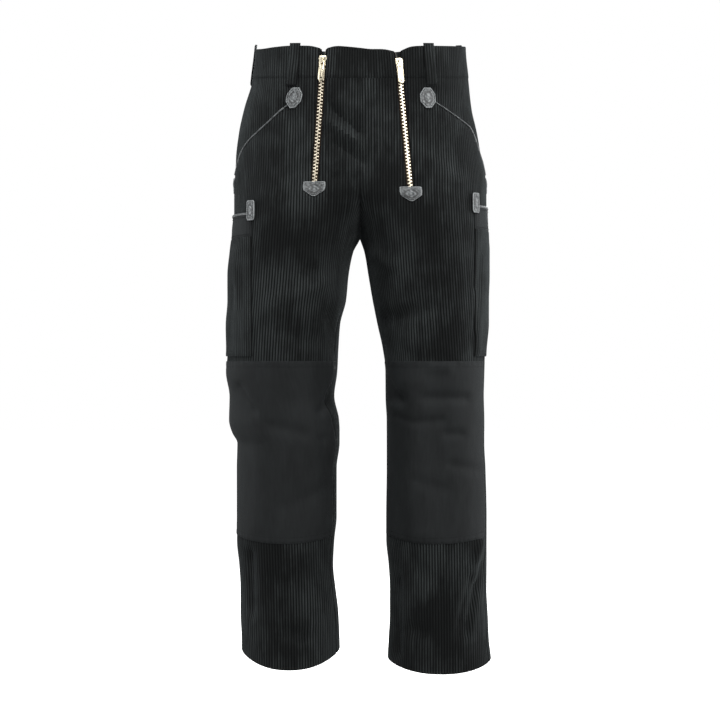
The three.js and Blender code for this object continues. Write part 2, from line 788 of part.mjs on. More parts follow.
function tabGeometry() {
  const outline = polygon([
    [-tabNeck, 0.7],
    [-tabNeck, -tabSlot - 0.4],
    [-tabHalf, -tabSlot - 4],
    [-tabHalf, -tabLength + 3],
    [-tabHalf * 0.6, -tabLength],
    [tabHalf * 0.6, -tabLength],
    [tabHalf, -tabLength + 3],
    [tabHalf, -tabSlot - 4],
    [tabNeck, -tabSlot - 0.4],
    [tabNeck, 0.7],
  ]);
  const slotHalf = bridgeHalf + 0.5;
  const slot = polygon([[-slotHalf, -0.7], [-slotHalf, -tabSlot], [slotHalf, -tabSlot], [slotHalf, -0.7]]);
  const hole = new THREE.Path().absarc(0, -tabLength + 4.4, 1.7, 0, 2 * Math.PI);
  outline.holes.push(slot, hole);
  const plate = extruded(outline, tabWall, 4).translate(0, 0, -tabWall / 2);
  const bar = new THREE.CylinderGeometry(barRadius, barRadius, tabNeck * 2, 12).rotateZ(Math.PI / 2);
  return joined([plate, bar]);
}

function addZips() {
  for (const leg of legs) {
    addMesh(`zip_${leg.name}`, zipBar(leg), tape);
    const onSlit = (v) => surface({ leg, v, angle: angleAt(leg, v, slitX(leg, v)) });
    const v = leg.sliderLevel;
    const up = onSlit(v + 9).sub(onSlit(v - 9)).normalize();
    const angle = angleAt(leg, v, slitX(leg, v));
    const across = new THREE.Vector3().crossVectors(up, outwardAt(leg, angle, v)).normalize();
    const outwards = new THREE.Vector3().crossVectors(across, up);
    const turn = new THREE.Matrix4().makeBasis(across, up, outwards);
    const slider = addMesh(`zip_slider_${leg.name}`, sliderGeometry(), brass);
    slider.position.copy(onSlit(v));
    slider.quaternion.setFromRotationMatrix(turn);
    const tab = addMesh(`zip_pull_${leg.name}`, tabGeometry(), brass);
    tab.position.copy(onSlit(v)).addScaledVector(outwards, barHeight);
    tab.quaternion.setFromRotationMatrix(turn);
  }
}

addLegs();
addHipPieces();
addWaistband();
addBeltLoops();
addLeather();
addPocketEdging();
addThighPockets();
addKneePatches();
addZips();

export default model;
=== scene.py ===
import math

import bmesh
import bpy
import numpy as np
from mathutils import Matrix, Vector


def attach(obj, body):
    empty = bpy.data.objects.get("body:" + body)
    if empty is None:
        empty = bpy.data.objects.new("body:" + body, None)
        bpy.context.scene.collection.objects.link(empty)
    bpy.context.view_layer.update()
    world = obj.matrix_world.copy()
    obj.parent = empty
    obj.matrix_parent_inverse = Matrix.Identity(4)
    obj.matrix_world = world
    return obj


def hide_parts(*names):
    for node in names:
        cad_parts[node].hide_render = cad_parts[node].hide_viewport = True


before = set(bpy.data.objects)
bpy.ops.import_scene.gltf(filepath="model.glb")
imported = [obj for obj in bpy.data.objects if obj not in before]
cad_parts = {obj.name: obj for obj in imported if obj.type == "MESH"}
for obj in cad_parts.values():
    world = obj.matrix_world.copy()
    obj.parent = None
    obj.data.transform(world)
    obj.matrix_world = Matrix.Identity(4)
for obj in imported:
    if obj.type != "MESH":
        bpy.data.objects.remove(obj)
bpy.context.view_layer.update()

# Corduroy work trousers, worn open and hollow. The surface is worked out in millimetres
# and every mesh is made in metres. The front faces -Y and the right leg lies at -X.

trousers = {
    "clothDepth": -1.6,  # inner face of the single cloth
    "seamGap": -0.1,  # sewn edges press into each other
    "centreLap": 0.3,  # and more so along the centre, down to the crotch
    "centreReach": 9,  # within which the cloth turns into the centre plane
    "seamRoll": 0.7,  # how deep a seam's edge rolls in
    "waistbandHeight": 54,
    "waistbandProud": 0.8,
    "waistbandDepth": -2,
    "bandTuck": 3,  # how far the cloth runs up behind the waistband
    "crotchLevel": -323.5,
    "mouthEnd": -238,  # where the pocket mouth meets the side seam
    "kneeTop": -531,
    "kneeBottom": -821,
    "hemDropBack": 6,
    "backDip": 6,  # how far the waist's edge comes down at the back
    "hemReach": 90,
    "rowHeight": 6.8,
}


def table(columns, rows):
    names = columns.split()
    return {name: np.array([row[k] for row in rows], float) for k, name in enumerate(names)}


# Half-widths of each leg from the centre plane (negative past it), and depths to the front and back.
sections = table("v outR inR outL inL front back", [
    (0, 174, -174, 177, -177, 116, 116),
    (-55, 180, -180, 182, -182, 121, 122),
    (-103, 194, -194, 187, -187, 124, 130),
    (-144, 203, -203, 196, -196, 127, 137),
    (-184, 208, -208, 204, -204, 129, 142),
    (-200, 209, -196, 208, -196, 130, 143),
    (-225, 211, -142, 211, -142, 130, 144),
    (-250, 211, -86, 212, -86, 130, 143),
    (-275, 211, -40, 212, -40, 129, 138),
    (-295, 211, -17, 212, -17, 128, 131),
    (-310, 212, -6, 212, -6, 126, 125),
    (-323.5, 212, -0.3, 212, -0.3, 125, 120),
    (-346, 214, 12, 213, 8, 122, 113),
    (-387, 218, 20, 213, 15, 118, 106),
    (-428, 218, 24, 212, 22, 113, 102),
    (-468, 221, 34, 212, 30, 108, 99),
    (-509, 222, 37, 210, 39, 102, 96),
    (-549, 224, 39, 209, 44, 97, 94),
    (-590, 218, 44, 208, 44, 92, 93),
    (-630, 219, 36, 209, 46, 88, 92),
    (-650, 214, 35, 209, 46, 86, 92),
    (-668, 205, 35, 209, 46, 84, 92),
    (-711, 206, 40, 211, 46, 80, 93),
    (-793, 206, 40, 213, 45, 75, 92),
    (-833, 207, 44, 213, 45, 73, 91),
    (-874, 203, 46, 213, 49, 71, 90),
    (-914, 201, 42, 213, 51, 70, 89),
    (-955, 201, 37, 215, 51, 70, 89),
    (-1000, 199, 35, 217, 49, 71, 90),
    (-1040, 199, 34, 221, 47, 72, 91),
])

# How squarish each section is, how far its plane tilts down to the front, and where the grain runs.
shaping = table("v power slope grainR grainL", [
    (10, 2.3, 0.19, 102, 102),
    (-55, 2.35, 0.185, 103, 103),
    (-100, 2.4, 0.165, 104, 104),
    (-200, 2.4, 0.095, 105, 105),
    (-300, 2.4, 0.02, 107, 107),
    (-340, 2.35, 0, 110, 109),
    (-600, 2.25, 0, 126, 126),
    (-1040, 2.2, 0, 117, 134),
])

# Seams as angles round the leg: 0 is the outer side, 90 the front, 180 the inner side.
seams = table("v outR outL inR inL", [
    (0, 0, 0, 180, 180),
    (-240, 0, 4, 180, 180),
    (-275, 0, 6, 180, 180),
    (-295, 0, 8, 180, 180),
    (-310, 0, 9, 180, 180),
    (-323.5, -1, 10, 180, 180),
    (-345, -1, 12, 178, 180),
    (-420, -3, 18, 168, 178),
    (-500, -4, 22, 160, 175),
    (-550, -5, 24, 160, 174),
    (-590, -5, 24, 145, 173),
    (-620, -5, 24, 147, 173),
    (-680, -5, 24, 157, 173),
    (-1040, -5, 24, 158, 173),
])

# How far the waist's front edge drops, across the front.
waistEdges = table("x drop", [
    (110, 0),
    (85, -1),
    (62, -4),
    (45, -5.5),
    (20, -6),
    (0, -4),
    (-25, -1.5),
    (-45, 0),
    (-115, 0),
    (-140, -2),
    (-165, -4.5),
    (-185, -4),
])

# The slanted pocket mouth, as a share of the half-width of the hips.
mouths = table("v right left", [
    (-55, 0.61, 0.64),
    (-86, 0.572, 0.63),
    (-105, 0.655, 0.745),
    (-125, 0.738, 0.872),
    (-139, 0.8, 0.94),
    (-162, 0.9, 0.968),
    (-180, 0.948, 0.98),
    (-200, 0.975, 0.988),
    (-220, 0.992, 0.996),
    (-238, 1, 1),
])

# Folds as soft lines from (x1, z1) to (x2, z2); a negative height is a trough.
folds = table("face x1 z1 x2 z2 width height", [
    (1, -40, -131, 6, -168, 11, -4.5),
    (1, -42, -152, -6, -178, 9, 3.5),
    (1, -34, -187, 10, -216, 11, -4),
    (1, -62, -404, -140, -440, 15, 5),
    (1, -88, -356, -74, -372, 12, 3),
    (1, -50, -455, -38, -508, 12, -4),
    (1, 18, -350, 48, -374, 11, 4),
    (1, 42, -462, 118, -445, 13, -6),
    (1, 109, -590, 172, -592, 9, -4),
    (1, 46, -592, 72, -592, 9, -4),
    (1, 102, -629, 132, -628, 8, -3),
    (1, 142, -650, 164, -650, 8, -3),
    (1, -181, -850, -181, -945, 9, -5),
    (1, -125, -982, -96, -982, 14, -4),
    (1, 200, -832, 189, -882, 8, 4),
    (1, 192, -905, 164, -980, 9, -4),
    (1, 64, -896, 62, -1020, 9, -4),
    (1, 86, -977, 110, -977, 12, -4),
    (-1, -84, -290, -150, -318, 18, -3),
    (-1, -92, -330, -160, -354, 18, 3),
    (-1, 82, -296, 146, -326, 18, -3),
    (-1, 94, -338, 158, -364, 18, 3),
    (-1, -60, -548, -170, -572, 12, -5),
    (-1, -70, -604, -190, -590, 13, -5),
    (-1, 66, -560, 176, -548, 12, -5),
    (-1, 74, -612, 180, -622, 13, -5),
    (-1, -90, -900, -130, -985, 14, -4),
    (-1, 100, -880, 150, -975, 14, -4),
    (1, -197, -574, -174, -612, 8, -4),
    (1, -64, -612, -44, -584, 8, -4.4),
    (1, 116, -541, 142, -541, 9, 2.6),
    (1, -150, -636, -92, -650, 11, -2.4),
    (1, -60, -742, -120, -770, 13, -2),
    (1, 96, -726, 140, -742, 11, -2),
    (1, 150, -700, 196, -712, 9, -2),
    (1, -120, -232, -70, -256, 13, -1.6),
    (1, 66, -246, 130, -262, 14, -1.6),
    (1, -150, -300, -96, -330, 13, 1.6),
    (1, 92, -318, 150, -342, 13, 1.6),
    (1, -120, -486, -70, -500, 12, -1.8),
    (1, 76, -500, 140, -512, 12, 1.6),
    (1, -92, -868, -78, -960, 12, 1.8),
    (1, 104, -858, 112, -940, 12, 1.8),
    (-1, -40, -180, -110, -196, 14, -1.8),
    (-1, 50, -200, 130, -220, 14, -1.8),
    (-1, -80, -660, -170, -676, 12, -2.4),
    (-1, 86, -690, 176, -676, 12, -2.4),
    (-1, -100, -790, -150, -840, 13, -2),
    (-1, 90, -800, 150, -830, 13, -2),
    (1, 0, -236, 1, -312, 9, -3.5),
    (1, -50, -122, -2, -162, 6, -5),
    (1, -54, -146, -8, -176, 6, 5),
    (1, -37, -183, 4, -212, 6.5, -4.6),
    (1, -44, -236, -10, -240, 7, -4),
    (1, 10, -150, 40, -160, 9, -2.2),
    (1, -184, -846, -179, -962, 7, -1.4),
    (1, 199, -828, 184, -880, 6, 2.6),
    (1, 202, -868, 176, -980, 6, -3.8),
    (1, 190, -868, 162, -960, 6, -3.4),
    (1, 62, -840, 60, -1010, 8, -3.4),
    (1, 92, -570, 98, -812, 23, 9),
    (1, 48, -566, 70, -596, 7, -3.4),
    (1, 62, -622, 92, -630, 6, -2),
    (1, -60, -660, -50, -790, 9, -3),
    (1, -191, -860, -188, -940, 6, 1.2),
    (1, -160, -640, -166, -800, 14, 2.4),
    (1, -112, -600, -118, -780, 16, -2),
    (1, -30, -108, 2, -132, 6, 3),
    (1, -120, -976, -96, -986, 9, -3.2),
    (1, -200, -350, -197, -440, 6, 2.4),
    (1, -205, -410, -212, -500, 6, -2.4),
    (1, 184, -420, 192, -512, 6, 3),
    (1, 196, -360, 186, -480, 5, -2.6),
    (1, 90, -430, 64, -470, 9, -3),
    (1, -150, -262, -120, -284, 12, 2.4),
    (1, 120, -214, 160, -240, 12, 2),
    (1, 84, -972, 112, -982, 9, -3.2),
    (1, -150, -886, -110, -900, 9, -1.6),
    (1, 96, -880, 140, -900, 9, -1.8),
    (1, 24, -100, 40, -130, 8, -1.8),
    (1, -120, -120, -96, -190, 10, -2.6),
    (1, 84, -270, 100, -330, 12, -3),
    (1, -70, -290, -84, -350, 12, -3),
])


corduroy = {
    "pitch": 4.6,  # from one wale to the next
    "columns": 4,  # for each wale
    "height": 0.8,
    "sink": 0.1,  # ground cloth under the surface
    "edge": 2.2,  # how far from an edge the wales are pressed down
    "rollReach": 1.6,
    "snap": 0.3,  # of a column, within which it moves to an edge
}
hipPocket = {
    "depth": 3.4,  # how far the cloth behind the mouth lies in
    "tuck": 8,  # and how far it runs on behind it
    "near": 6,  # lengths beside the mouth between which it comes back up
    "far": 45,
}
loops = {
    "width": 18.5,
    "length": 70,
    "start": 4,
    "backStart": -3,
    "clear": 0.7,
    "bow": 1.8,
    "wall": 1.9,
    "rows": 30,
}
patches = {
    "wall": 1.4,
    "cells": 22,
    "round": 1.2,  # reach of the rounded edge
    "groove": 2.3,  # where the stitches run
    "grooveDepth": 0.5,
    "ringDepth": 0.4,
    "ringWidth": 0.16,
    "puff": 0.7,
    "wrinkles": 0.22,
}
edging = {"width": 4.2, "tuck": 0.8, "rest": 0.35, "columns": 7}
thighPocket = {
    "bottom": -523,
    "band": 40,
    "backAngle": math.radians(-62),
    "clear": 0.9,
    "full": 1.8,
    "wall": 1.8,
    "reach": 205,  # from its front edge to its back edge
    "columns": 90,
    "stitchLift": 2.25,
}
knees = {"dip": 10, "dipReach": 40, "rest": 0.35, "wall": 1.5, "columns": 110, "stitchInsets": (2.5, 9)}
zips = {
    "slitHalf": 5.5,
    "tapeFace": -2.7,
    "tapeBack": -3.5,
    "toothSpacing": 2.7,  # from a tooth to the next one, on the other side
    "toothLift": -0.6,
    "toothAside": 1.6,
    "parted": 3.4,  # how far each tape stands from the middle at the waist's edge
    "endBack": -1.9,
    "endFace": -0.9,
}
stitch = {"length": 2.5, "spacing": 3.3, "thick": 0.62, "lift": 0.4}
tooth = {"along": 2.7, "across": 4.5, "tall": 2.4, "narrow": 0.8, "round": 0.28}

# Half-widths down the height of each kind of leather piece
outlines = {
    "homePlate": ([0, 0.04, 0.3, 0.6, 0.97, 1], [0.93, 1, 1.02, 0.96, 0.2, 0.08]),
    "hexagon": ([0, 0.3, 0.36, 0.64, 0.7, 1], [0.42, 0.97, 1, 1, 0.97, 0.34]),
    "roundedBar": ([0, 0.05, 0.14, 0.86, 0.95, 1], [0.72, 0.9, 1, 1, 0.88, 0.68]),
}

# One half of a zip's tape: the beads that the teeth grip stand up near the middle
tapes = table("aside bead", [
    (0.2, 0.6),
    (1.2, 1.15),
    (3.2, 1.0),
    (4.5, 0.25),
    (7, 0.05),
    (10, 0),
])


def ramp(value, low, high):
    s = np.clip((np.asarray(value, float) - low) / (high - low), 0, 1)
    return s * s * (3 - 2 * s)


def bell(value, middle, width):
    return np.exp(-(((value - middle) / width) ** 2))


# A smooth curve through one column that never overshoots its rows
def curveOf(source, key, along="v"):
    x, y = -source[along], source[key]
    rise = np.diff(y) / np.diff(x)
    before, after = rise[:-1], rise[1:]
    total = np.where(before + after == 0, 1, before + after)
    slopes = np.concatenate([[0], np.where(before * after > 0, 2 * before * after / total, 0), [0]])

    def at(v):
        place = np.clip(-np.asarray(v, float), x[0], x[-1])
        k = np.clip(np.searchsorted(x, place) - 1, 0, len(x) - 2)
        span = x[k + 1] - x[k]
        s = (place - x[k]) / span
        ease = ramp(s, 0, 1)
        bend = s * (1 - s) * span * ((1 - s) * slopes[k] - s * slopes[k + 1])
        return y[k] * (1 - ease) + y[k + 1] * ease + bend

    return at


frontDepth = curveOf(sections, "front")
backDepth = curveOf(sections, "back")
power = curveOf(shaping, "power")
slope = curveOf(shaping, "slope")
waistDrop = curveOf(waistEdges, "drop", "x")


def makeLeg(name, side, **values):
    columns = {"out": (sections, "out"), "inn": (sections, "in"), "grain": (shaping, "grain")}
    columns |= {"outSeam": (seams, "out"), "inSeam": (seams, "in")}
    curves = {key: curveOf(source, column + name[0].upper()) for key, (source, column) in columns.items()}
    return {"name": name, "side": side, "mouth": curveOf(mouths, name), **curves, **values}


right = makeLeg("right", -1, hem=-1015, hemDrop=24, slitEnd=-238, zipTopX=58.5, zipLean=0.062,
                waistDip=5, topPatchX=106, sliderLevel=-26, frontLoopX=106, sideLoopAngle=-4,
                thighTop=-288, thighFrontX=175)
left = makeLeg("left", 1, hem=-1031, hemDrop=14.5, slitEnd=-247, zipTopX=60.5, zipLean=0.084,
               waistDip=5.5, topPatchX=109, sliderLevel=-30, frontLoopX=112, sideLoopAngle=-22,
               thighTop=-274, thighFrontX=186)
legs = [right, left]


# The cloth's surface before any fold: a squarish oval round each leg
def bare(leg, angle, v):
    n = power(v)
    out, inn = leg["out"](v), leg["inn"](v)
    across, deep = np.cos(angle), np.sin(angle)
    reach = (np.abs(across) ** n + np.abs(deep) ** n) ** (-1 / n)
    share = deep * reach
    x = leg["side"] * ((out + inn) / 2 + (out - inn) / 2 * across * reach)
    y = -np.where(deep > 0, frontDepth(v), backDepth(v)) * share
    drop = np.where(deep > 0, leg["hemDrop"], trousers["hemDropBack"])
    drop = drop * ramp(leg["hem"] + trousers["hemReach"] - v, 0, trousers["hemReach"])
    z = v + slope(v) * y - drop * share * share
    return np.stack(np.broadcast_arrays(x, y, z), -1)


# The way out of the cloth; near the centre seam it turns into the centre plane, so both legs stay joined
def outwardAt(leg, angle, v):
    around = bare(leg, angle + 0.01, v) - bare(leg, angle - 0.01, v)
    up = bare(leg, angle, v + 1) - bare(leg, angle, v - 1)
    normal = np.cross(around, up)
    normal /= np.linalg.norm(normal, axis=-1, keepdims=True)
    facing = leg["side"] * np.cos(angle) * normal[..., 0] - np.sin(angle) * normal[..., 1]
    normal = np.where(facing[..., None] < 0, -normal, normal)
    normal[..., 0] *= ramp(np.abs(bare(leg, angle, v)[..., 0]), 0, trousers["centreReach"])
    return normal / np.linalg.norm(normal, axis=-1, keepdims=True)


def foldHeight(point, normal):
    x, z = point[..., 0], point[..., 2]
    height = np.zeros_like(x)
    for face, x1, z1, x2, z2, width, tall in zip(*folds.values()):
        runX, runZ = x2 - x1, z2 - z1
        share = np.clip(((x - x1) * runX + (z - z1) * runZ) / (runX * runX + runZ * runZ), 0, 1)
        away = np.hypot(x - x1 - share * runX, z - z1 - share * runZ)
        height += ramp(-normal[..., 1] * face, 0.05, 0.45) * tall * bell(away, 0, width)
    return height


# Points of the folded cloth and the way out of it
def clothAt(leg, angle, v):
    point = bare(leg, angle, v)
    normal = outwardAt(leg, angle, v)
    return point + normal * foldHeight(point, normal)[..., None], normal


def surface(leg, angle, v, lift):
    point, normal = clothAt(leg, angle, v)
    return point + normal * np.asarray(lift, float)[..., None]


# The same on a grid, with the level of each point
def clothGrid(leg, levels, angles, levelAt=None):
    v = np.repeat(levels[:, None], angles.shape[1], 1)
    if levelAt:
        v = levelAt(leg, angles, v)
    return *clothAt(leg, angles, v), v


# The angle at which a section reaches x on the front
def angleAt(leg, v, x):
    n = power(v)
    middle, half = (leg["out"](v) + leg["inn"](v)) / 2, (leg["out"](v) - leg["inn"](v)) / 2
    across = np.clip((x - middle) / half, -1, 1)
    return np.arctan2((1 - np.abs(across) ** n) ** (1 / n), across)


# Moves an angle by a length along the cloth
def shift(leg, v, angle, length):
    moved = angle
    for _ in range(4):
        step = bare(leg, moved + 0.01, v) - bare(leg, moved - 0.01, v)
        moved = moved + length / 4 / (np.linalg.norm(step, axis=-1) / 0.02)
    return moved


def outSeam(leg, v):
    return np.radians(leg["outSeam"](v))


def inSeam(leg, v):
    centre = angleAt(leg, v, -trousers["centreLap"])
    return np.where(v > trousers["crotchLevel"], centre, np.radians(leg["inSeam"](v)))


def mouthAngle(leg, v):
    return angleAt(leg, v, leg["mouth"](v) * leg["out"](v))


def slitAngle(leg, v, aside=0):
    return angleAt(leg, v, leg["zipTopX"] - v * leg["zipLean"] + aside)


# The slit's outer (1) or inner (-1) lip, or a line beside it
def lipAngle(leg, v, way, away=0):
    return slitAngle(leg, v, way * (zips["slitHalf"] + away))


def pocketFront(leg, v):
    return angleAt(leg, v, leg["thighFrontX"])


# Levels through every stop, about one row height apart
def levelsThrough(stops, height):
    levels = [stops[0]]
    for upper, lower in zip(stops, stops[1:]):
        count = max(1, round((upper - lower) / height))
        levels += list(upper + (lower - upper) * np.arange(1, count + 1) / count)
    return np.array(levels)


def lengthsAlong(points):
    steps = np.linalg.norm(np.diff(points, axis=1), axis=-1)
    return np.concatenate([np.zeros((len(steps), 1)), np.cumsum(steps, 1)], 1)


# Lengths along the cloth at each level, counted from one angle
def rulerOf(leg, levels, low, high, zeroAngle):
    angles = np.linspace(low, high, 420)
    ruler = {"angles": angles, "levels": levels, "lengths": lengthsAlong(bare(leg, angles, levels[:, None]))}
    ruler["lengths"] -= lengthAt(ruler, zeroAngle)[:, None]
    return ruler


def lengthAt(ruler, angle):
    angle = np.broadcast_to(angle, ruler["levels"].shape)
    return np.array([np.interp(a, ruler["angles"], row) for a, row in zip(angle, ruler["lengths"])])


# Angles between two ends at even lengths along the cloth, for each level
def spread(leg, levels, start, end, count):
    start, end = (np.broadcast_to(limit, levels.shape)[:, None] for limit in (start, end))
    angles = start + (end - start) * np.linspace(0, 1, 90)
    lengths = lengthsAlong(bare(leg, angles, levels[:, None]))
    wanted = np.linspace(0, 1, count + 1)
    return np.array([np.interp(wanted * row[-1], row, angle) for row, angle in zip(lengths, angles)])


# Angles of a strip at lengths aside of one line
def stripAt(leg, middle, levels, aside):
    v = levels[:, None]
    return shift(leg, v, middle(v) if callable(middle) else middle, aside)


# what the pieces of each slot are called
stuffs = {
    "corduroy": "cloth",
    "smooth_cloth": "cloth",
    "leather": "leather",
    "zip_tape": "tape",
    "zip_metal": "metal",
}
# lines that the stitches and the teeth are set along
stitchRows = {"leather": [], "waistband": [], "pockets": [], "knees": [], "seams": []}
chainRows = {}


def keep(name, piece, node=None, rides="trousers"):
    piece.name = name
    piece.data.name = name
    if node:
        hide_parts(node)
    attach(piece, rides)


# Keeps a leg's piece in the place of its CAD node
def dress(part, leg, slot, piece, rides="trousers"):
    node = f"{part}_{leg['name']}"
    keep(f"{node}_{stuffs[slot]}", piece, node, rides)


def addObject(name, data):
    piece = bpy.data.objects.new(name, data)
    bpy.context.scene.collection.objects.link(piece)
    return piece


# A mesh in metres; cloth is its flat place, marks are point values such as the height of a wale
def pieceFrom(points, faces, finish, cloth, marks, sharp):
    mesh = bpy.data.meshes.new("piece")
    mesh.from_pydata((points * 0.001).tolist(), [], faces)
    mesh.validate()
    if cloth is not None:
        uv = mesh.uv_layers.new(name="cloth")
        corners = np.zeros(len(mesh.loops), np.int32)
        mesh.loops.foreach_get("vertex_index", corners)
        uv.data.foreach_set("uv", (cloth[corners] * 0.001).astype(np.float32).ravel())
    for key, values in marks.items():
        layer = mesh.attributes.new(key, "FLOAT", "POINT")
        layer.data.foreach_set("value", values.astype(np.float32))
    mesh.shade_smooth()
    mesh.set_sharp_from_angle(angle=math.radians(sharp))
    mesh.materials.append(finish)
    return addObject("piece", mesh)


# The faces with their outsides outwards
def turnedOut(points, faces):
    volume = 0.0
    for face in faces:
        a = points[face[0]]
        for b, c in zip(face[1:], face[2:]):
            volume += np.dot(a, np.cross(points[b], points[c]))
    return [face[::-1] for face in faces] if volume < 0 else faces


# A closed wall: the outer faces, the same ones on the inner side, and the rim between
def doubled(faces, count):
    edges = {(a, b) for face in faces for a, b in zip(face, face[1:] + face[:1])}
    rim = [(b, a, a + count, b + count) for a, b in sorted(edges) if (b, a) not in edges]
    inner = [tuple(k + count for k in reversed(face)) for face in faces]
    return faces + inner + rim


# Quads of a grid; points that fall together share one number, and flat cells go
def gridFaces(ids, keepCell):
    faces = []
    for j, i in np.ndindex(ids.shape[0] - 1, ids.shape[1] - 1):
        corners = (ids[j, i], ids[j + 1, i], ids[j + 1, i + 1], ids[j, i + 1])
        face = tuple(dict.fromkeys(int(k) for k in corners))
        if len(face) > 2 and (keepCell is None or keepCell[j, i]):
            faces.append(face)
    return faces


# A wall between two heights over the cloth
def wallPiece(point, normal, low, high, finish, cloth=None, sharp=50, same=None, keepCell=None, **marks):
    shape = point.shape[:2]
    count = shape[0] * shape[1]
    faces = doubled(gridFaces(np.arange(count).reshape(shape) if same is None else same, keepCell), count)
    used = np.unique(np.concatenate(faces))
    order = np.full(count * 2, -1)
    order[used] = np.arange(len(used))
    faces = [tuple(int(order[k]) for k in face) for face in faces]

    def twice(values):
        return np.tile(np.broadcast_to(values, shape).ravel(), 2)[used]

    sides = [point + normal * np.broadcast_to(height, shape)[..., None] for height in (high, low)]
    points = np.concatenate(sides).reshape(-1, 3)[used]
    marks = {key: twice(values) for key, values in marks.items()}
    flat = None if cloth is None else np.stack([twice(values) for values in cloth], 1)
    return pieceFrom(points, turnedOut(points, faces), finish, flat, marks, sharp)


# Height of the pile over the ground cloth, from 0 in a valley to 1 on a wale
def waleRise(length, edgeAway, v):
    phase = length / corduroy["pitch"]
    number = np.floor(phase)
    worn = 0.93 + 0.07 * np.sin(v * 0.11 + number * 1.7) * np.sin(v * 0.043 + number * 0.6)
    return np.abs(np.sin(np.pi * phase)) * worn * ramp(edgeAway, 0, corduroy["edge"])


# A panel whose columns follow the wales and are cut off at its two edges
def corduroyPanel(leg, ruler, start, end, depth=trousers["clothDepth"], lift=None, lips=None, levelAt=None):
    levels = ruler["levels"]
    step = corduroy["pitch"] / corduroy["columns"]
    near = step * corduroy["snap"]
    low, high = lengthAt(ruler, start), lengthAt(ruler, end)
    columns = step * np.arange(math.floor(low.min() / step), math.ceil(high.max() / step) + 1)
    place = np.tile(columns, (len(levels), 1))
    same = np.arange(place.size).reshape(place.shape)
    edgeAway = np.zeros(place.shape)
    marks = np.zeros(place.shape, int)  # 1 on the slit's one lip, 2 on the other
    for j, (row, ids) in enumerate(zip(place, same)):
        first, last = row < low[j] + near, row > high[j] - near
        ids[first] = ids[first][-1:]
        ids[last] = ids[last][:1]
        row[first], row[last] = low[j], high[j]
        edgeAway[j] = np.minimum(row - low[j], high[j] - row)
        if lips is not None and levels[j] > leg["slitEnd"]:
            a, b = lips[0][j], lips[1][j]
            middle = (a + b) / 2
            ends = (((row > a - near) & (row <= middle), a, 1), ((row > middle) & (row < b + near), b, 2))
            for lip, where, mark in ends:
                ids[lip] = ids[lip][:1]
                row[lip] = where
                marks[j, lip] = mark
            edgeAway[j] = np.minimum(edgeAway[j], np.minimum(np.abs(row - a), np.abs(row - b)))
    corners = np.stack([marks[:-1, :-1], marks[1:, :-1], marks[:-1, 1:], marks[1:, 1:]])
    keepCell = ~((corners == 1).any(0) & (corners == 2).any(0))
    angles = np.array([np.interp(row, known, ruler["angles"]) for row, known in zip(place, ruler["lengths"])])
    point, normal, v = clothGrid(leg, levels, angles, levelAt)
    rise = waleRise(place, edgeAway, v)
    base = lift(leg, angles, v) if lift else 0
    rolled = trousers["seamRoll"] * bell(edgeAway, 0, corduroy["rollReach"])
    top = base + rise * corduroy["height"] - corduroy["sink"] - rolled
    return wallPiece(point, normal, base + depth, top, corduroyCloth, cloth=(place, v), same=same,
                     keepCell=keepCell, wale=rise)


# Of a node's values, another node's output is linked and anything else is set
def addNode(tree, kind, values=None, **settings):
    node = tree.nodes.new(kind)
    for key, value in settings.items():
        setattr(node, key, value)
    for key, value in (values or {}).items():
        target = node.inputs[key] if isinstance(key, int) else next(s for s in node.inputs if s.name == key)
        if isinstance(value, bpy.types.NodeSocket):
            tree.links.new(value, target)
        else:
            target.default_value = value
    return node


# The look is a function that gives the shader's values for a node tree
def makeFinish(name, look, *values):
    finish = bpy.data.materials.new(name)
    finish.use_nodes = True
    tree = finish.node_tree
    tree.nodes.clear()
    shader = addNode(tree, "ShaderNodeBsdfPrincipled", look(tree, *values))
    addNode(tree, "ShaderNodeOutputMaterial", {0: shader.outputs[0]})
    return finish


def attribute(tree, name):
    return addNode(tree, "ShaderNodeAttribute", attribute_name=name).outputs["Fac"]


def clothPlace(tree, stretch=(1, 1, 1)):
    uv = addNode(tree, "ShaderNodeUVMap", uv_map="cloth").outputs[0]
    return addNode(tree, "ShaderNodeMapping", {"Vector": uv, "Scale": stretch}).outputs[0]


def objectPlace(tree, stretch=(1, 1, 1)):
    place = addNode(tree, "ShaderNodeTexCoord").outputs["Object"]
    return addNode(tree, "ShaderNodeMapping", {"Vector": place, "Scale": stretch}).outputs[0]


def noise(tree, place, scale, detail=2.0, roughness=0.5):
    values = {"Vector": place, "Scale": scale, "Detail": detail, "Roughness": roughness}
    return addNode(tree, "ShaderNodeTexNoise", values).outputs[0]


def wave(tree, place, scale, distortion, direction):
    values = {"Vector": place, "Scale": scale, "Distortion": distortion}
    return addNode(tree, "ShaderNodeTexWave", values, bands_direction=direction).outputs[1]


def scaled(tree, value, low, high, start=0.0):
    values = {0: value, 1: start, 2: 1.0, 3: low, 4: high}
    return addNode(tree, "ShaderNodeMapRange", values).outputs[0]


def maths(tree, operation, a, b):
    return addNode(tree, "ShaderNodeMath", {0: a, 1: b}, operation=operation).outputs[0]


def mixed(tree, share, first, second):
    return addNode(tree, "ShaderNodeMix", {0: share, 6: first, 7: second}, data_type="RGBA").outputs[2]


def bumped(tree, height, distance, strength):
    values = {"Height": height, "Distance": distance, "Strength": strength}
    return addNode(tree, "ShaderNodeBump", values).outputs[0]


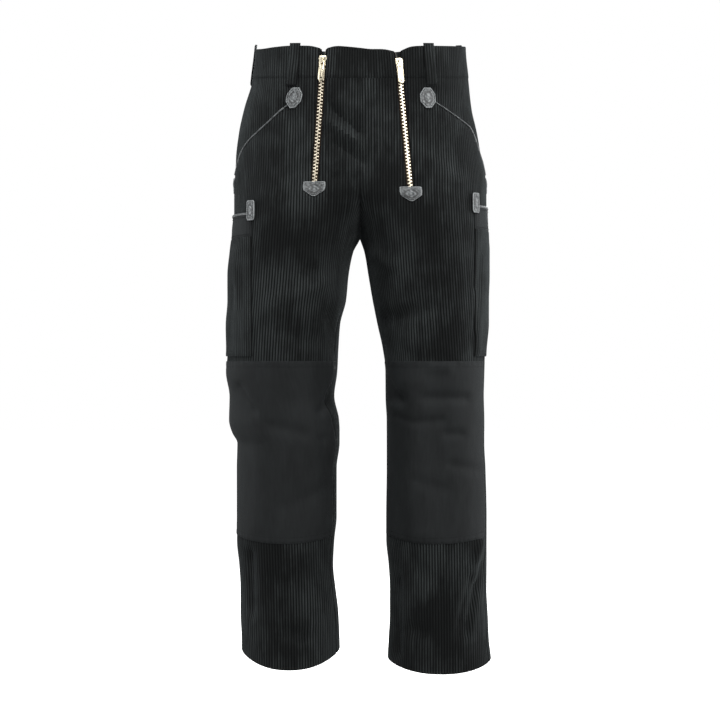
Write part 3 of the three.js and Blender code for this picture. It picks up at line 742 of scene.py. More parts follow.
looks = {
    "corduroy": {
        "ridge": (0.0088, 0.01, 0.0101, 1),
        # valley: painted shade deep in the wale valleys, also the dark of the pile's fine flecks
        "valley": (0.0010, 0.0011, 0.0012, 1),
        "brushed": (0.036, 0.0412, 0.0418, 1),
        "sheenTint": (0.50, 0.56, 0.58, 1),
        "streaks": 230,  # a metre across the wales, about one for each wale
    },
    "smooth": {
        "dark": (0.0074, 0.0084, 0.009, 1),
        "light": (0.0162, 0.0184, 0.0194, 1),
        "between": (0.004, 0.0045, 0.005, 1),
        "sheenTint": (0.48, 0.57, 0.6, 1),
        "threads": 1400 / 3.1,  # a metre, over the waves of the texture
    },
    "leather": {
        "dark": (0.018, 0.02, 0.021, 1),
        "light": (0.118, 0.128, 0.133, 1),
        # worn: lighter where the rim is rubbed, also the painted highlight on the wrinkles' crests
        "worn": (0.36, 0.38, 0.385, 1),
        "grain": 620,
    },
    "tape": {"dark": (0.006, 0.004, 0.003, 1), "light": (0.045, 0.029, 0.016, 1), "ribs": 400},
    # tapeEnd light: a painted highlight along the inner tape's lip at the slit
    "tapeEnd": {"dark": (0.0022, 0.0022, 0.0022, 1), "light": (0.2, 0.19, 0.17, 1)},
    "thread": {"dark": (0.002, 0.0022, 0.0022, 1), "light": (0.011, 0.012, 0.0125, 1), "twist": 900},
}


def corduroyLook(tree):
    look = looks["corduroy"]
    nap = noise(tree, objectPlace(tree, (1, 1, 0.8)), 10, 4, 0.6)
    pile = noise(tree, clothPlace(tree, (1, 0.3, 1)), 1500, 2)
    streaks = noise(tree, clothPlace(tree, (1, 0.06, 1)), look["streaks"], 1)
    tone = maths(tree, "ADD", scaled(tree, nap, -2.1, 2.7), scaled(tree, streaks, -0.6, 0.75))
    brushed = mixed(tree, tone, look["ridge"], look["brushed"])
    streaked = mixed(tree, scaled(tree, pile, -0.35, 0.6), brushed, look["valley"])
    # the colour darkens down into the wale valleys by the wale's height: painted shade in the valleys
    share = scaled(tree, attribute(tree, "wale"), 0.0, 1.0, 0.25)
    return {
        "Base Color": mixed(tree, share, look["valley"], streaked),
        "Roughness": 0.94,
        "Specular IOR Level": 0.12,
        "Sheen Weight": 0.225,
        "Sheen Roughness": 0.42,
        "Sheen Tint": look["sheenTint"],
        "Normal": bumped(tree, pile, 0.0004, 0.5),
    }


def smoothLook(tree):
    look = looks["smooth"]
    across, along = (wave(tree, clothPlace(tree), look["threads"], 0.6, way) for way in "XY")
    weave = maths(tree, "MULTIPLY", across, along)
    slub = noise(tree, clothPlace(tree, (1, 0.12, 1)), 260, 3)
    patch = noise(tree, objectPlace(tree, (1, 1, 0.4)), 26, 3)
    tone = maths(tree, "ADD", scaled(tree, slub, -0.2, 0.7), scaled(tree, patch, -0.6, 1.0))
    colour = mixed(tree, tone, look["dark"], look["light"])
    return {
        "Base Color": mixed(tree, scaled(tree, weave, 0.3, 0.0), colour, look["between"]),
        "Roughness": 0.8,
        "Specular IOR Level": 0.2,
        "Sheen Weight": 0.06,
        "Sheen Roughness": 0.4,
        "Sheen Tint": look["sheenTint"],
        "Normal": bumped(tree, maths(tree, "ADD", weave, slub), 0.00022, 0.5),
    }


def leatherLook(tree):
    look = looks["leather"]
    values = {"Vector": objectPlace(tree), "Scale": look["grain"]}
    grain = addNode(tree, "ShaderNodeTexVoronoi", values, feature="DISTANCE_TO_EDGE").outputs[0]
    mottle = noise(tree, objectPlace(tree), 150, 4, 0.65)
    # above 0 the leather is lighter: rubbed at its rim, lighter just inside the ring, and a painted highlight
    # on the wrinkles' crests; below 0 it is darker: painted shade in the stitch groove, the pressed ring and
    # the wrinkles' troughs
    edge = attribute(tree, "edge")
    tone = maths(tree, "ADD", scaled(tree, mottle, -0.9, 2.0), edge)
    rubbedAndHighlight = maths(tree, "MULTIPLY", edge, scaled(tree, mottle, -0.3, 1.5))
    return {
        "Base Color": mixed(tree, rubbedAndHighlight, mixed(tree, tone, look["dark"], look["light"]), look["worn"]),
        "Roughness": scaled(tree, mottle, 0.26, 0.55),
        "Specular IOR Level": 0.6,
        "Normal": bumped(tree, maths(tree, "ADD", scaled(tree, grain, 0, 6), mottle), 0.00025, 0.6),
    }


def tapeLook(tree):
    look = looks["tape"]
    ribs = wave(tree, clothPlace(tree), look["ribs"], 0.3, "Y")
    fleck = noise(tree, objectPlace(tree), 700, 2)
    tone = maths(tree, "MULTIPLY", scaled(tree, ribs, 0.4, 1), scaled(tree, fleck, 0.6, 1.2))
    return {
        "Base Color": mixed(tree, tone, look["dark"], look["light"]),
        "Roughness": 0.85,
        "Specular IOR Level": 0.3,
        "Normal": bumped(tree, ribs, 0.00025, 0.6),
    }


def tapeEndLook(tree):
    look = looks["tapeEnd"]
    # the light colour is a painted highlight along the inner tape's lip
    colour = mixed(tree, attribute(tree, "edge"), look["dark"], look["light"])
    return {"Base Color": colour, "Roughness": 0.9, "Specular IOR Level": 0.1}


def threadLook(tree):
    look = looks["thread"]
    twist = wave(tree, objectPlace(tree), look["twist"], 1.0, "DIAGONAL")
    return {
        "Base Color": mixed(tree, twist, look["dark"], look["light"]),
        "Roughness": 0.85,
        "Specular IOR Level": 0.1,
        "Normal": bumped(tree, twist, 0.0001, 0.5),
    }


def metalLook(tree, bright, dull, roughness):
    scuffs = noise(tree, objectPlace(tree, (1, 1, 0.3)), 420, 4, 0.7)
    return {
        "Base Color": mixed(tree, scaled(tree, scuffs, -0.4, 1.3), dull, bright),
        "Roughness": scaled(tree, scuffs, roughness * 0.7, roughness * 1.4),
        "Metallic": 1.0,
        "Normal": bumped(tree, scuffs, 0.00004, 0.4),
    }


print("finishes")
corduroyCloth = makeFinish("black corduroy", corduroyLook)
smoothCloth = makeFinish("black smooth cloth", smoothLook)
leather = makeFinish("dark grey leather", leatherLook)
zipTape = makeFinish("dark brown zip tape", tapeLook)
tapeEnd = makeFinish("dark tape end", tapeEndLook)
sliderMetal = makeFinish("pale brass", metalLook, (0.86, 0.79, 0.62, 1), (0.55, 0.48, 0.34, 1), 0.24)
toothMetal = makeFinish("pale brass teeth", metalLook, (0.93, 0.86, 0.71, 1), (0.62, 0.53, 0.39, 1), 0.36)
thread = makeFinish("black thread", threadLook)

bandFoot = trousers["bandTuck"] - trousers["waistbandHeight"]


def frontEdge(leg, v):
    seam = shift(leg, v, outSeam(leg, v), trousers["seamGap"] / 2)
    return np.where(v > trousers["mouthEnd"], np.maximum(seam, mouthAngle(leg, v)), seam)


def grainAngle(leg, v):
    return angleAt(leg, v, leg["grain"](v))


def makeLegCloth(leg):
    gap = trousers["seamGap"] / 2
    stops = {trousers[key] for key in ("mouthEnd", "crotchLevel", "kneeTop", "kneeBottom")}
    stops |= {bandFoot, leg["slitEnd"], leg["hem"]}
    levels = levelsThrough(sorted(stops, reverse=True), trousers["rowHeight"])
    joined, seam = levels >= trousers["crotchLevel"], inSeam(leg, levels)
    ruler = rulerOf(leg, levels, -0.4, math.pi, grainAngle(leg, levels))
    end = np.where(joined, seam, shift(leg, levels, seam, -gap))
    lips = [lengthAt(ruler, lipAngle(leg, levels, way)) for way in (1, -1)]
    front = corduroyPanel(leg, ruler, frontEdge(leg, levels), end, lips=lips)
    dress("front_leg", leg, "corduroy", front)
    ruler = rulerOf(leg, levels, -4.2, 0.6, -grainAngle(leg, levels))
    start = np.where(joined, -seam, shift(leg, levels, seam - 2 * math.pi, gap))
    back = corduroyPanel(leg, ruler, start, shift(leg, levels, outSeam(leg, levels), -gap))
    dress("back_leg", leg, "corduroy", back)


def hipLift(leg, angle, v):
    away = np.maximum(mouthAngle(leg, v) - angle, 0) * leg["out"](v) * 0.75
    sunk = (1 - ramp(away, hipPocket["near"], hipPocket["far"])) * ramp(bandFoot - v, 4, 34)
    return -hipPocket["depth"] * sunk


def makeHipPiece(leg):
    stops = [bandFoot, trousers["mouthEnd"], trousers["mouthEnd"] - 8]
    levels = levelsThrough(stops, trousers["rowHeight"])
    ruler = rulerOf(leg, levels, -0.4, math.pi, grainAngle(leg, levels))
    start = shift(leg, levels, outSeam(leg, levels), trousers["seamGap"] / 2)
    end = shift(leg, levels, mouthAngle(leg, levels), hipPocket["tuck"])
    piece = corduroyPanel(leg, ruler, start, end, lift=hipLift)
    dress("hip_piece", leg, "corduroy", piece)


# The waist's edge dips a little at each zip
def waistEdge(leg, angle, v):
    x = np.abs(bare(leg, angle, v)[..., 0])
    dip = waistDrop(leg["side"] * x) - leg["waistDip"] * bell(x, leg["zipTopX"], 15)
    front = np.where(angle > 0, 1, np.exp(-(angle**2)))
    dip = dip * front - trousers["backDip"] * (1 - front)
    return v + dip * (1 + v / trousers["waistbandHeight"])


def bandLift(leg, angle, v):
    top = 1 - ramp(-v, 0, 1.6)
    foot = 1 - ramp(v + trousers["waistbandHeight"], 0, 1.8)
    return trousers["waistbandProud"] - 0.6 * top - 1.3 * foot


def makeWaistband():
    height = trousers["waistbandHeight"]
    levels = levelsThrough([0, -0.8, -1.7, -height + 1.5, -height + 0.7, -height], 5)
    depth = trousers["waistbandDepth"] - trousers["waistbandProud"]
    halves = []
    for leg in legs:
        ruler = rulerOf(leg, levels, -math.pi - 0.1, 2.6, grainAngle(leg, levels))
        start = -angleAt(leg, levels, trousers["seamGap"] / 2)
        band = corduroyPanel(leg, ruler, start, lipAngle(leg, levels, 1), depth, bandLift, levelAt=waistEdge)
        dress("waistband", leg, "corduroy", band)
        angles = spread(leg, levels, lipAngle(leg, levels, -1), angleAt(leg, levels, 0), 52)
        point, normal, v = clothGrid(leg, levels, angles, waistEdge)
        halves.append((point, normal, v, bandLift(leg, angles, v)))
    # the piece between the zips runs across both legs
    point, normal, v, base = (np.concatenate([a, b[:, -2::-1]], 1) for a, b in zip(*halves))
    length = lengthsAlong(point)
    place = np.arange(length.shape[1]) * corduroy["pitch"] / corduroy["columns"]
    rise = waleRise(place, np.minimum(length, length[:, -1:] - length), v)
    top = base + rise * corduroy["height"] - corduroy["sink"]
    band = wallPiece(point, normal, base + depth, top, corduroyCloth, cloth=(place, v), wale=rise)
    keep("waistband_front_cloth", band, "waistband_front")


# strips is one (leg, angles) pair, or two that meet at the centre back
def makeBeltLoop(node, strips, levels):
    grids = [clothGrid(leg, levels, angles) for leg, angles in strips]
    point, normal, v = (np.concatenate(parts, 1) for parts in zip(*grids))
    place = np.linspace(0, loops["width"], point.shape[1])
    down = np.linspace(0, 1, loops["rows"])[:, None]
    edge = np.minimum(np.minimum(place, loops["width"] - place), np.minimum(down, 1 - down) * loops["length"])
    rise = waleRise(place, edge, v)
    # the loop stands off from the band between its two ends
    base = trousers["waistbandProud"] + loops["clear"] + loops["bow"] * np.sin(np.pi * down).clip(0) ** 0.6
    ends = np.minimum(ramp(down, 0, 0.04), ramp(1 - down, 0, 0.05))
    crown = loops["wall"] * (0.55 + 0.45 * ends * ramp(edge, 0, 1.3)) - 0.5 * bell(edge, 2.4, 0.7)
    top = base + crown + rise * corduroy["height"] * 0.8
    loop = wallPiece(point, normal, base, top, corduroyCloth, cloth=(place, v), wale=rise)
    keep(node + "_cloth", loop, node)


def makeBeltLoops():
    levels = loops["start"] - loops["length"] * np.linspace(0, 1, loops["rows"])
    half = loops["width"] / 2
    for leg in legs:
        middles = {"front": angleAt(leg, -30, leg["frontLoopX"]), "side": math.radians(leg["sideLoopAngle"])}
        for place, middle in middles.items():
            angles = stripAt(leg, middle, levels, np.linspace(-half, half, 17))
            makeBeltLoop(f"belt_loop_{place}_{leg['name']}", [(leg, angles)], levels)
    levels += loops["backStart"] - loops["start"]
    xs = np.linspace(half, 0, 9)
    strips = [(leg, -angleAt(leg, levels[:, None], x)) for leg, x in ((right, xs), (left, xs[-2::-1]))]
    makeBeltLoop("belt_loop_back", strips, levels)


def makePatch(part, leg, middle, v, width, height, outline, lift):
    down = np.concatenate([[0, 0.02, 0.05], np.linspace(0.09, 0.91, 20), [0.95, 0.98, 1]])
    levels = v + height / 2 - height * down
    halves = np.interp(down, *outlines[outline]) * width / 2
    across = np.linspace(-1, 1, patches["cells"] + 1) * halves[:, None]
    along = (down[:, None] - 0.5) * height
    edge = np.minimum((halves[:, None] - np.abs(across)) * 0.9, height / 2 - np.abs(along))
    dome = np.sqrt(np.clip(1 - (1 - np.minimum(edge / patches["round"], 1)) ** 2, 0, 1))
    groove = bell(edge, patches["groove"], 0.55)
    ring = np.hypot(across / (width * 0.26), along / (height * 0.27))
    pressed = bell(ring, 1, patches["ringWidth"]) * ramp(edge, 2.5, 4)
    wrinkled = np.sin(across * 0.8 + 1.6 * np.sin(along * 0.45 + v)) * np.sin(along * 0.6 + v)
    wrinkled *= ramp(edge, 2, 5)
    relief = patches["puff"] * ramp(edge, 2.5, 7) + patches["wrinkles"] * wrinkled
    relief -= patches["grooveDepth"] * groove + patches["ringDepth"] * pressed
    # lighter where the rim is rubbed and just inside the ring; lighter on the wrinkles' crests as painted
    # highlight, darker in their troughs, the stitch groove and the pressed ring as painted shade
    worn = 0.8 * bell(edge, 1.1, 0.7) + 0.25 * bell(ring, 0.7, patches["ringWidth"])
    worn += 0.5 * wrinkled - 0.9 * (pressed + groove)
    point, normal, _ = clothGrid(leg, levels, stripAt(leg, middle, levels, across))
    top = lift + patches["wall"] * (0.25 + 0.75 * dome) + relief
    patch = wallPiece(point, normal, lift, top, leather, sharp=60, edge=np.clip(worn, -1, 1))
    dress(part, leg, "leather", patch)
    # the stitch row runs round the patch, in its groove
    inset = patches["groove"]
    inside = np.abs(along[:, 0]) < height / 2 - inset
    aside = np.maximum(halves[inside] - inset * 1.1, 0.3)[:, None] * (1, -1)
    angles = stripAt(leg, middle, levels[inside], aside)
    row = surface(leg, angles, levels[inside][:, None], lift + patches["wall"] - 0.3)
    stitchRows["leather"].append(np.concatenate([row[:, 0], row[::-1, 1], row[:1, 0]]))


def makeLeather(leg):
    rest, wall = edging["rest"], patches["wall"]
    overEdging = rest * 2 + wall
    overPocket = overEdging + thighPocket["wall"] + 0.7
    makePatch("zip_end_patch", leg, lambda v: slitAngle(leg, v), leg["slitEnd"] - 9,
              36, 26, "homePlate", 0.8 + rest)
    makePatch("pocket_top_patch", leg, angleAt(leg, -86, leg["topPatchX"]), -87,
              27, 35, "hexagon", overEdging)
    makePatch("pocket_low_patch", leg,
              lambda v: mouthAngle(leg, np.maximum(v, trousers["mouthEnd"])) + 0.02, -236,
              22, 26, "roundedBar", rest + 0.25)
    makePatch("thigh_patch", leg, lambda v: shift(leg, v, pocketFront(leg, v), 1),
              leg["thighTop"] + 4, 17, 35, "roundedBar", overPocket)
    # edging along the pocket mouth
    levels = levelsThrough([-90, -218], 3)
    aside = np.linspace(-edging["tuck"], edging["width"] - edging["tuck"], edging["columns"])
    angles = stripAt(leg, lambda v: mouthAngle(leg, v), levels, aside)
    point, normal, _ = clothGrid(leg, levels, angles)
    crown = np.sqrt(np.clip(1 - np.linspace(-1, 1, edging["columns"]) ** 2, 0, 1))
    top = rest + wall * (0.3 + 0.75 * crown)
    # the edging is lighter along its crown and darker down its sides: painted highlight and painted shade
    piece = wallPiece(point, normal, rest, top, leather, sharp=70, edge=0.3 * crown - 0.35)
    dress("pocket_edging", leg, "leather", piece)


def pocketFull(leg, angle, v):
    down = ramp(leg["thighTop"] - v, 0, 60) * ramp(v - thighPocket["bottom"], 0, 60)
    front = ramp(pocketFront(leg, v) - angle, 0, 0.5)
    rear = ramp(angle - thighPocket["backAngle"], 0, 0.5)
    return thighPocket["clear"] + thighPocket["full"] * front * rear * down


# The pocket's outer face, pressed down along its top and its bottom
def bagLift(leg, angle, v):
    split = leg["thighTop"] - thighPocket["band"]
    folded = 0.5 * (1 - ramp(v - thighPocket["bottom"], 0, 2)) + 0.4 * (1 - ramp(split - v, 0, 2))
    return pocketFull(leg, angle, v) + thighPocket["wall"] - folded


def makeThighPocket(leg):
    back, wall, bottom = thighPocket["backAngle"], thighPocket["wall"], thighPocket["bottom"]
    columns = thighPocket["columns"]
    top = leg["thighTop"]
    split = top - thighPocket["band"]
    # facing band
    levels = levelsThrough([top, top - 1.2, split + 1.2, split], 4)
    angles = spread(leg, levels, pocketFront(leg, levels), back, columns)
    point, normal, v = clothGrid(leg, levels, angles)
    place = np.linspace(0, thighPocket["reach"], columns + 1)
    edge = np.minimum(np.minimum(place, thighPocket["reach"] - place), np.minimum(top - v, v - split))
    base = pocketFull(leg, angles, v)
    crown = wall * (0.6 + 0.4 * ramp(edge, 0, 1.5)) - 0.35 * bell(edge, 3.2, 0.8)
    band = wallPiece(point, normal, base, base + crown, smoothCloth, cloth=(place, v))
    dress("thigh_band", leg, "smooth_cloth", band)
    # the pocket itself
    levels = levelsThrough([split - 0.3, split - 1.8, bottom + 2, bottom], 6)
    front = pocketFront(leg, levels)
    bag = corduroyPanel(leg, rulerOf(leg, levels, -1.6, 1.6, front), back, front, -wall, bagLift)
    dress("thigh_pocket", leg, "corduroy", bag)
    # leather edge along the band's top
    levels = top + np.array([1, 0, -1.2, -2.4, -3.4])
    crown = np.array([0.35, 0.9, 1.25, 1.1, 0.5])[:, None]
    angles = spread(leg, levels, pocketFront(leg, levels), back, columns)
    point, normal, v = clothGrid(leg, levels, angles)
    base = pocketFull(leg, angles, v) + wall + edging["rest"] - 0.3
    # the edge is lighter along its crown and darker above and below it: painted highlight and painted shade
    piece = wallPiece(point, normal, base, base + crown, leather, sharp=70, edge=crown * 0.2 - 0.25)
    dress("thigh_edging", leg, "leather", piece)


# The patch's lower edge hangs deeper in front
def kneeEdge(leg, angle, v):
    down = ramp(trousers["kneeBottom"] + knees["dipReach"] - v, 0, knees["dipReach"])
    return v - knees["dip"] * down * np.maximum(np.sin(angle), 0) ** 2


def makeKneePatch(leg):
    top, bottom, gap = trousers["kneeTop"], trousers["kneeBottom"], trousers["seamGap"] / 2
    levels = levelsThrough([top, top - 1.5, bottom + 1.5, bottom], 4)
    down = np.minimum(top - levels, levels - bottom)[:, None]
    stitchLift = knees["rest"] + knees["wall"] - 0.25
    start = shift(leg, levels, outSeam(leg, levels), gap)
    angles = spread(leg, levels, start, shift(leg, levels, inSeam(leg, levels), -gap), knees["columns"])
    point, normal, v = clothGrid(leg, levels, angles, kneeEdge)
    length = lengthsAlong(point)
    edge = np.minimum(np.minimum(length, length[:, -1:] - length), down)
    pressed = sum(bell(edge, inset, 0.8) for inset in knees["stitchInsets"])
    pucker = np.sin(length * 0.55 + np.sin(length * 0.11) * 2) * bell(down, 0, 8)
    crown = knees["wall"] * (0.55 + 0.45 * ramp(edge, 0, 1.6)) - 0.4 * pressed + 0.3 * pucker
    patch = wallPiece(point, normal, knees["rest"], knees["rest"] + crown, smoothCloth, cloth=(length, v))
    dress("knee_patch", leg, "smooth_cloth", patch)
    for inset in knees["stitchInsets"]:
        for y in (top - inset, bottom + inset):
            angles = np.linspace(shift(leg, y, outSeam(leg, y), 4), shift(leg, y, inSeam(leg, y), -4), 60)
            stitchLine("knees", leg, angles, kneeEdge(leg, angles, y), stitchLift)


def makeZip(leg):
    across = np.concatenate([-tapes["aside"][::-1], tapes["aside"]])
    bead = np.concatenate([tapes["bead"][::-1], tapes["bead"]])
    zipName = "zip_" + leg["name"]
    # two tapes that meet under the chain
    levels = levelsThrough([leg["sliderLevel"] + 2, -40, leg["slitEnd"] + 1], 4)
    point, normal, v = clothGrid(leg, levels, stripAt(leg, lambda v: slitAngle(leg, v), levels, across))
    top = zips["tapeFace"] + bead
    tape = wallPiece(point, normal, zips["tapeBack"], top, zipTape, cloth=(across, v))
    dress("zip", leg, "zip_tape", tape)
    chainRows[zipName] = clothAt(leg, slitAngle(leg, levels), levels)
    for way, place in ((1, "outer"), (-1, "inner")):
        keep(f"{zipName}_{place}_tape_end", makeTapeEnd(leg, way))


# Above the slider the two tapes part and run up to the waist's edge
def makeTapeEnd(leg, way):
    levels = np.linspace(leg["sliderLevel"] + 4, -1, 10)
    parted = np.linspace(0.3, zips["parted"], 10)[:, None]
    aside = parted + (zips["slitHalf"] + 3 - parted) * np.linspace(0, 1, 6)
    point, normal, _ = clothGrid(leg, levels, slitAngle(leg, levels[:, None], way * aside), waistEdge)
    # on the inner tape the column at the slit is a painted highlight along its lip
    pale = np.zeros(aside.shape)
    if way < 0:
        pale[:, 0] = 0.8
    top = zips["endFace"] + 0.5 * bell(aside, parted, 0.9)
    return wallPiece(point, normal, zips["endBack"], top, tapeEnd, edge=pale)


def meshOf(shape, name):
    mesh = bpy.data.meshes.new(name)
    shape.to_mesh(mesh)
    shape.free()
    return mesh


# Applies a piece's modifiers and gives it its finish
def settled(piece, finish):
    evaluated = piece.evaluated_get(bpy.context.evaluated_depsgraph_get())
    mesh = bpy.data.meshes.new_from_object(evaluated)
    piece.modifiers.clear()
    piece.data = mesh
    mesh.materials.clear()
    mesh.materials.append(finish)
    mesh.shade_smooth()
    return piece


# The metal's CAD shape with its edges rounded
def polishedCopy(node):
    shape = bmesh.new()
    shape.from_mesh(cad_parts[node].data)
    bmesh.ops.remove_doubles(shape, verts=shape.verts, dist=1e-6)
    bmesh.ops.dissolve_limit(shape, angle_limit=math.radians(2), verts=shape.verts, edges=shape.edges)
    piece = addObject(node, meshOf(shape, node))
    bevel = piece.modifiers.new("round", "BEVEL")
    bevel.width = 0.00032
    bevel.segments = 3
    bevel.limit_method = "ANGLE"
    bevel.angle_limit = math.radians(30)
    settled(piece, sliderMetal).data.set_sharp_from_angle(angle=math.radians(40))
    return piece


def makeMetal(leg):
    side = leg["name"]
    dress("zip_slider", leg, "zip_metal", polishedCopy("zip_slider_" + side))
    dress("zip_pull", leg, "zip_metal", polishedCopy("zip_pull_" + side), rides="pull_" + side)


# Sets a piece at even steps along lines, turned with them; odd ones can stand to the other side
def alongTree():
    tree = bpy.data.node_groups.new("piecesAlongLines", "GeometryNodeTree")
    kinds = ("Geometry", "Object", "Float", "Float", "Material")
    for name, kind in zip(("Lines", "Piece", "Spacing", "Aside", "Finish"), kinds):
        tree.interface.new_socket(name, in_out="INPUT", socket_type="NodeSocket" + kind)
    tree.interface.new_socket("Pieces", in_out="OUTPUT", socket_type="NodeSocketGeometry")
    given = addNode(tree, "NodeGroupInput").outputs

    def step(kind, values=None, **settings):
        return addNode(tree, kind, values, **settings).outputs[0]

    def read(name):
        return step("GeometryNodeInputNamedAttribute", {"Name": name}, data_type="FLOAT_VECTOR")

    lines = step("GeometryNodeMeshToCurve", {0: given["Lines"]})
    even = step("GeometryNodeResampleCurve", {"Curve": lines, "Length": given["Spacing"]}, mode="LENGTH")
    tangent = step("GeometryNodeInputTangent")
    outwards = read("outwards")
    sideways = step("ShaderNodeVectorMath", {0: tangent, 1: outwards}, operation="CROSS_PRODUCT")
    odd = maths(tree, "MODULO", step("GeometryNodeInputIndex"), 2.0)
    sign = step("ShaderNodeMath", {0: odd, 1: 2.0, 2: -1.0}, operation="MULTIPLY_ADD")
    amount = maths(tree, "MULTIPLY", sign, given["Aside"])
    offset = step("ShaderNodeVectorMath", {0: sideways, "Scale": amount}, operation="SCALE")
    turned = step("FunctionNodeAlignRotationToVector", {"Vector": tangent}, axis="X")
    facing = step("FunctionNodeAlignRotationToVector", {"Rotation": turned, "Vector": outwards},
                  axis="Z", pivot_axis="X")
    spin = step("ShaderNodeCombineXYZ", {"Z": maths(tree, "MULTIPLY", odd, math.pi)})
    flip = step("FunctionNodeRotateRotation",
                {"Rotation": facing, "Rotate By": step("FunctionNodeEulerToRotation", {0: spin})},
                rotation_space="LOCAL")
    source = addNode(tree, "GeometryNodeObjectInfo", {"Object": given["Piece"]}).outputs["Geometry"]
    # the sideways step is read on the points, before they become instances
    stored = step("GeometryNodeStoreNamedAttribute", {"Geometry": even, "Name": "sidestep", "Value": offset},
                  data_type="FLOAT_VECTOR", domain="POINT")
    placed = step("GeometryNodeInstanceOnPoints", {"Points": stored, "Instance": source, "Rotation": flip})
    moved = step("GeometryNodeTranslateInstances",
                 {"Instances": placed, "Translation": read("sidestep"), "Local Space": False})
    real = step("GeometryNodeRealizeInstances", {0: moved})
    finished = step("GeometryNodeSetMaterial", {"Geometry": real, "Material": given["Finish"]})
    addNode(tree, "NodeGroupOutput", {0: finished})
    return tree


# rows are lines of points in millimetres
def runAlong(tree, rows, outwards, piece, spacing, aside, finish):
    edges, first = [], 0
    for row in rows:
        edges += [(first + k, first + k + 1) for k in range(len(row) - 1)]
        first += len(row)
    mesh = bpy.data.meshes.new("lines")
    mesh.from_pydata((np.concatenate(rows) * 0.001).tolist(), edges, [])
    layer = mesh.attributes.new("outwards", "FLOAT_VECTOR", "POINT")
    layer.data.foreach_set("vector", np.concatenate(outwards).astype(np.float32).ravel())
    lines = addObject("lines", mesh)
    modifier = lines.modifiers.new("along", "NODES")
    modifier.node_group = tree
    values = {"Piece": piece, "Spacing": spacing * 0.001, "Aside": aside * 0.001, "Finish": finish}
    for item in tree.interface.items_tree:
        if item.in_out == "INPUT" and item.name in values:
            modifier[item.identifier] = values[item.name]
    return settled(lines, finish)


def stitchShape():
    shape = bmesh.new()
    bmesh.ops.create_uvsphere(shape, u_segments=5, v_segments=4, radius=0.5)
    length, thick = stitch["length"] * 0.001, stitch["thick"] * 0.001
    for vertex in shape.verts:
        x, y, z = vertex.co
        vertex.co = (z * length, y * thick, x * thick * 0.8)
    bmesh.ops.recalc_face_normals(shape, faces=shape.faces)
    return addObject("oneStitch", meshOf(shape, "oneStitch"))


# An arm that grips the tape and a rounded head that meets the other side
def toothShape():
    shape = bmesh.new()
    bmesh.ops.create_cube(shape, size=1.0)
    along, across, tall = (tooth[key] * 0.001 for key in ("along", "across", "tall"))
    for vertex in shape.verts:
        x, y, z = vertex.co
        narrow = tooth["narrow"] if y > 0 else 1.0
        vertex.co = (x * along * narrow, y * across, z * tall * narrow)
    offset = tooth["round"] * 0.001
    bmesh.ops.bevel(shape, geom=shape.edges, offset=offset, segments=2, affect="EDGES", profile=0.6)
    bmesh.ops.recalc_face_normals(shape, faces=shape.faces)
    return addObject("oneTooth", meshOf(shape, "oneTooth"))


# Away from the middle of each leg; only a plain guide for small stitches
def outwardsOf(rows):
    ways = []
    for row in rows:
        way = row * (1, 1, 0)
        way[:, 0] -= np.sign(way[:, 0]) * 100
        ways.append(way / np.maximum(np.linalg.norm(way, axis=1, keepdims=True), 1e-6))
    return ways


def stitchLine(group, leg, angles, v, lift=stitch["lift"]):
    stitchRows[group].append(surface(leg, angles, v, lift))


def planStitches(leg):
    under = -trousers["waistbandHeight"]
    proud = trousers["waistbandProud"] + corduroy["height"] * 0.55
    back, bottom = thighPocket["backAngle"], thighPocket["bottom"]
    for y in (-3.5, under + 3):
        centre = angleAt(leg, y, 0.5)
        for way, end, count in ((1, -math.pi + 0.01, 150), (-1, centre, 40)):
            angles = np.linspace(lipAngle(leg, y, way, 2), end, count)
            stitchLine("waistband", leg, angles, waistEdge(leg, angles, y), proud)
    # along each lip of the zip's slit, and round the pocket mouth
    v = levelsThrough([under - 3, leg["slitEnd"] + 8], 6)
    for way in (1, -1):
        stitchLine("pockets", leg, lipAngle(leg, v, way, 3.2), v)
    v = levelsThrough([-104, -218], 5)
    for inset in (5.2, 11):
        stitchLine("pockets", leg, shift(leg, v, mouthAngle(leg, v), inset), v)
    # centre seam, then the outside seams on the back's side, then the hem
    v = levelsThrough([under - 2, -300], 6)
    for way in (1, -1):
        stitchLine("seams", leg, way * angleAt(leg, v, 3.2), v)
    v = levelsThrough([under - 2, leg["hem"] + 4], 8)
    for inset in (-2.8, -9):
        stitchLine("seams", leg, shift(leg, v, outSeam(leg, v), inset), v)
    stitchLine("seams", leg, np.linspace(-math.pi, math.pi, 200), leg["hem"] + 14)
    # thigh pocket, across and then down
    split = leg["thighTop"] - thighPocket["band"]
    for y in (leg["thighTop"] - 7, split + 3.2, bottom + 3.5, bottom + 9):
        angles = np.linspace(pocketFront(leg, y) - 0.02, back + 0.03, 70)
        stitchLine("pockets", leg, angles, y, pocketFull(leg, angles, y) + thighPocket["stitchLift"])
    v = levelsThrough([leg["thighTop"] - 8, bottom + 3.5], 7)
    for start, inset in ((pocketFront(leg, v), -3), (pocketFront(leg, v), -9), (back, 3), (back, 9)):
        angles = shift(leg, v, start, inset)
        stitchLine("pockets", leg, angles, v, pocketFull(leg, angles, v) + thighPocket["stitchLift"])


def makeRepeats():
    tree = alongTree()
    oneStitch, oneTooth = stitchShape(), toothShape()
    for group, rows in stitchRows.items():
        piece = runAlong(tree, rows, outwardsOf(rows), oneStitch, stitch["spacing"], 0.0, thread)
        keep(group + "_stitching", piece)
    for zipName, (point, normal) in chainRows.items():
        line = point + normal * zips["toothLift"]
        spacing, aside = zips["toothSpacing"], zips["toothAside"]
        piece = runAlong(tree, [line], [normal], oneTooth, spacing, aside, toothMetal)
        keep(zipName + "_teeth", piece)
    for piece in (oneStitch, oneTooth):
        bpy.data.objects.remove(piece)


def onBoth(make):
    for leg in legs:
        make(leg)


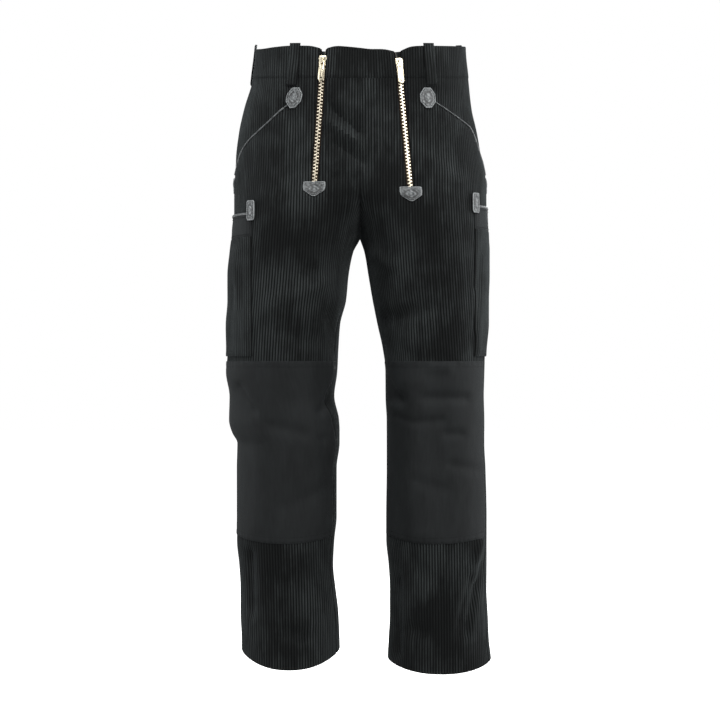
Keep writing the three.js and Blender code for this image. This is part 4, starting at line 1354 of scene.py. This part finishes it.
print("legs")
onBoth(makeLegCloth)
print("hip pieces and waistband")
onBoth(makeHipPiece)
makeWaistband()
print("belt loops")
makeBeltLoops()
print("leather")
onBoth(makeLeather)
print("thigh pockets")
onBoth(makeThighPocket)
print("knee patches")
onBoth(makeKneePatch)
print("zips")
onBoth(makeZip)
onBoth(makeMetal)
print("stitches and teeth")
onBoth(planStitches)
makeRepeats()


studio = {
    "distance": 2.5,
    "height": -0.529,
    "lens": 73.96,
    "floor": -1.32,
    "floorReach": 14,
    "floorGlow": 0.78,
    "backdrop": 1.0,
    "ambient": 0.34,
}
softboxes = {
    # name: (place, target, size, power, colour)
    "key": ((1.3, -2.6, 0.8), (0, 0, -0.4), (1.0, 1.2), 63, (1, 0.99, 0.97)),
    "fill": ((-2.0, -2.2, 0.2), (0, 0, -0.5), (1.2, 1.8), 17, (0.97, 0.99, 1)),
    "overhead": ((0, -1.5, 1.7), (0, -0.1, -0.3), (2.2, 0.6), 46, (1, 1, 1)),
    "right rim": ((-2.1, 0.25, -0.3), (-0.15, 0, -0.5), (0.5, 1.8), 25, (0.97, 0.99, 1)),
    "left rim": ((2.1, 0.25, -0.3), (0.15, 0, -0.5), (0.5, 1.8), 40, (0.98, 0.99, 1)),
    "back": ((0.4, 2.6, 0.5), (0, 0, -0.5), (1.6, 1.8), 60, (1, 1, 1)),
}


def addSoftbox(name, place, target, size, power, colour):
    light = bpy.data.lights.new(name, "AREA")
    light.shape = "RECTANGLE"
    light.size, light.size_y = size
    light.energy = power
    light.color = colour
    lamp = addObject(name, light)
    lamp.location = place
    lamp.rotation_euler = (Vector(target) - Vector(place)).to_track_quat("-Z", "Y").to_euler()


# A white surround, which lights the cloth only softly
def makeSurround():
    world = bpy.data.worlds.new("studio")
    world.use_nodes = True
    tree = world.node_tree
    sky = tree.nodes["Background"]
    sky.inputs[0].default_value = (1, 1, 1, 1)
    seen = addNode(tree, "ShaderNodeLightPath").outputs["Is Camera Ray"]
    tree.links.new(scaled(tree, seen, studio["ambient"], studio["backdrop"]), sky.inputs[1])
    bpy.context.scene.world = world


def floorLook(tree):
    return {
        "Base Color": (0.93, 0.93, 0.93, 1),
        "Roughness": 0.9,
        "Specular IOR Level": 0.0,
        "Emission Color": (1, 1, 1, 1),
        "Emission Strength": studio["floorGlow"],
    }


def makeFloor():
    mesh = bpy.data.meshes.new("floor")
    reach, low = studio["floorReach"], studio["floor"]
    corners = [(-reach, -reach, low), (reach, -reach, low), (reach, reach, low), (-reach, reach, low)]
    mesh.from_pydata(corners, [], [(0, 1, 2, 3)])
    floor = addObject("floor", mesh)
    mesh.materials.append(makeFinish("pale floor", floorLook))
    floor.visible_diffuse = False
    floor.visible_glossy = False


def makeStudio():
    scene = bpy.context.scene
    makeSurround()
    makeFloor()
    for name, values in softboxes.items():
        addSoftbox(name, *values)
    camera = bpy.data.cameras.new("camera")
    camera.sensor_width = 36
    camera.lens = studio["lens"]
    view = addObject("camera", camera)
    view.location = (0, -studio["distance"], studio["height"])
    view.rotation_euler = (math.radians(90), 0, 0)
    scene.camera = view
    scene.view_settings.view_transform = "Standard"


makeStudio()
print("done")
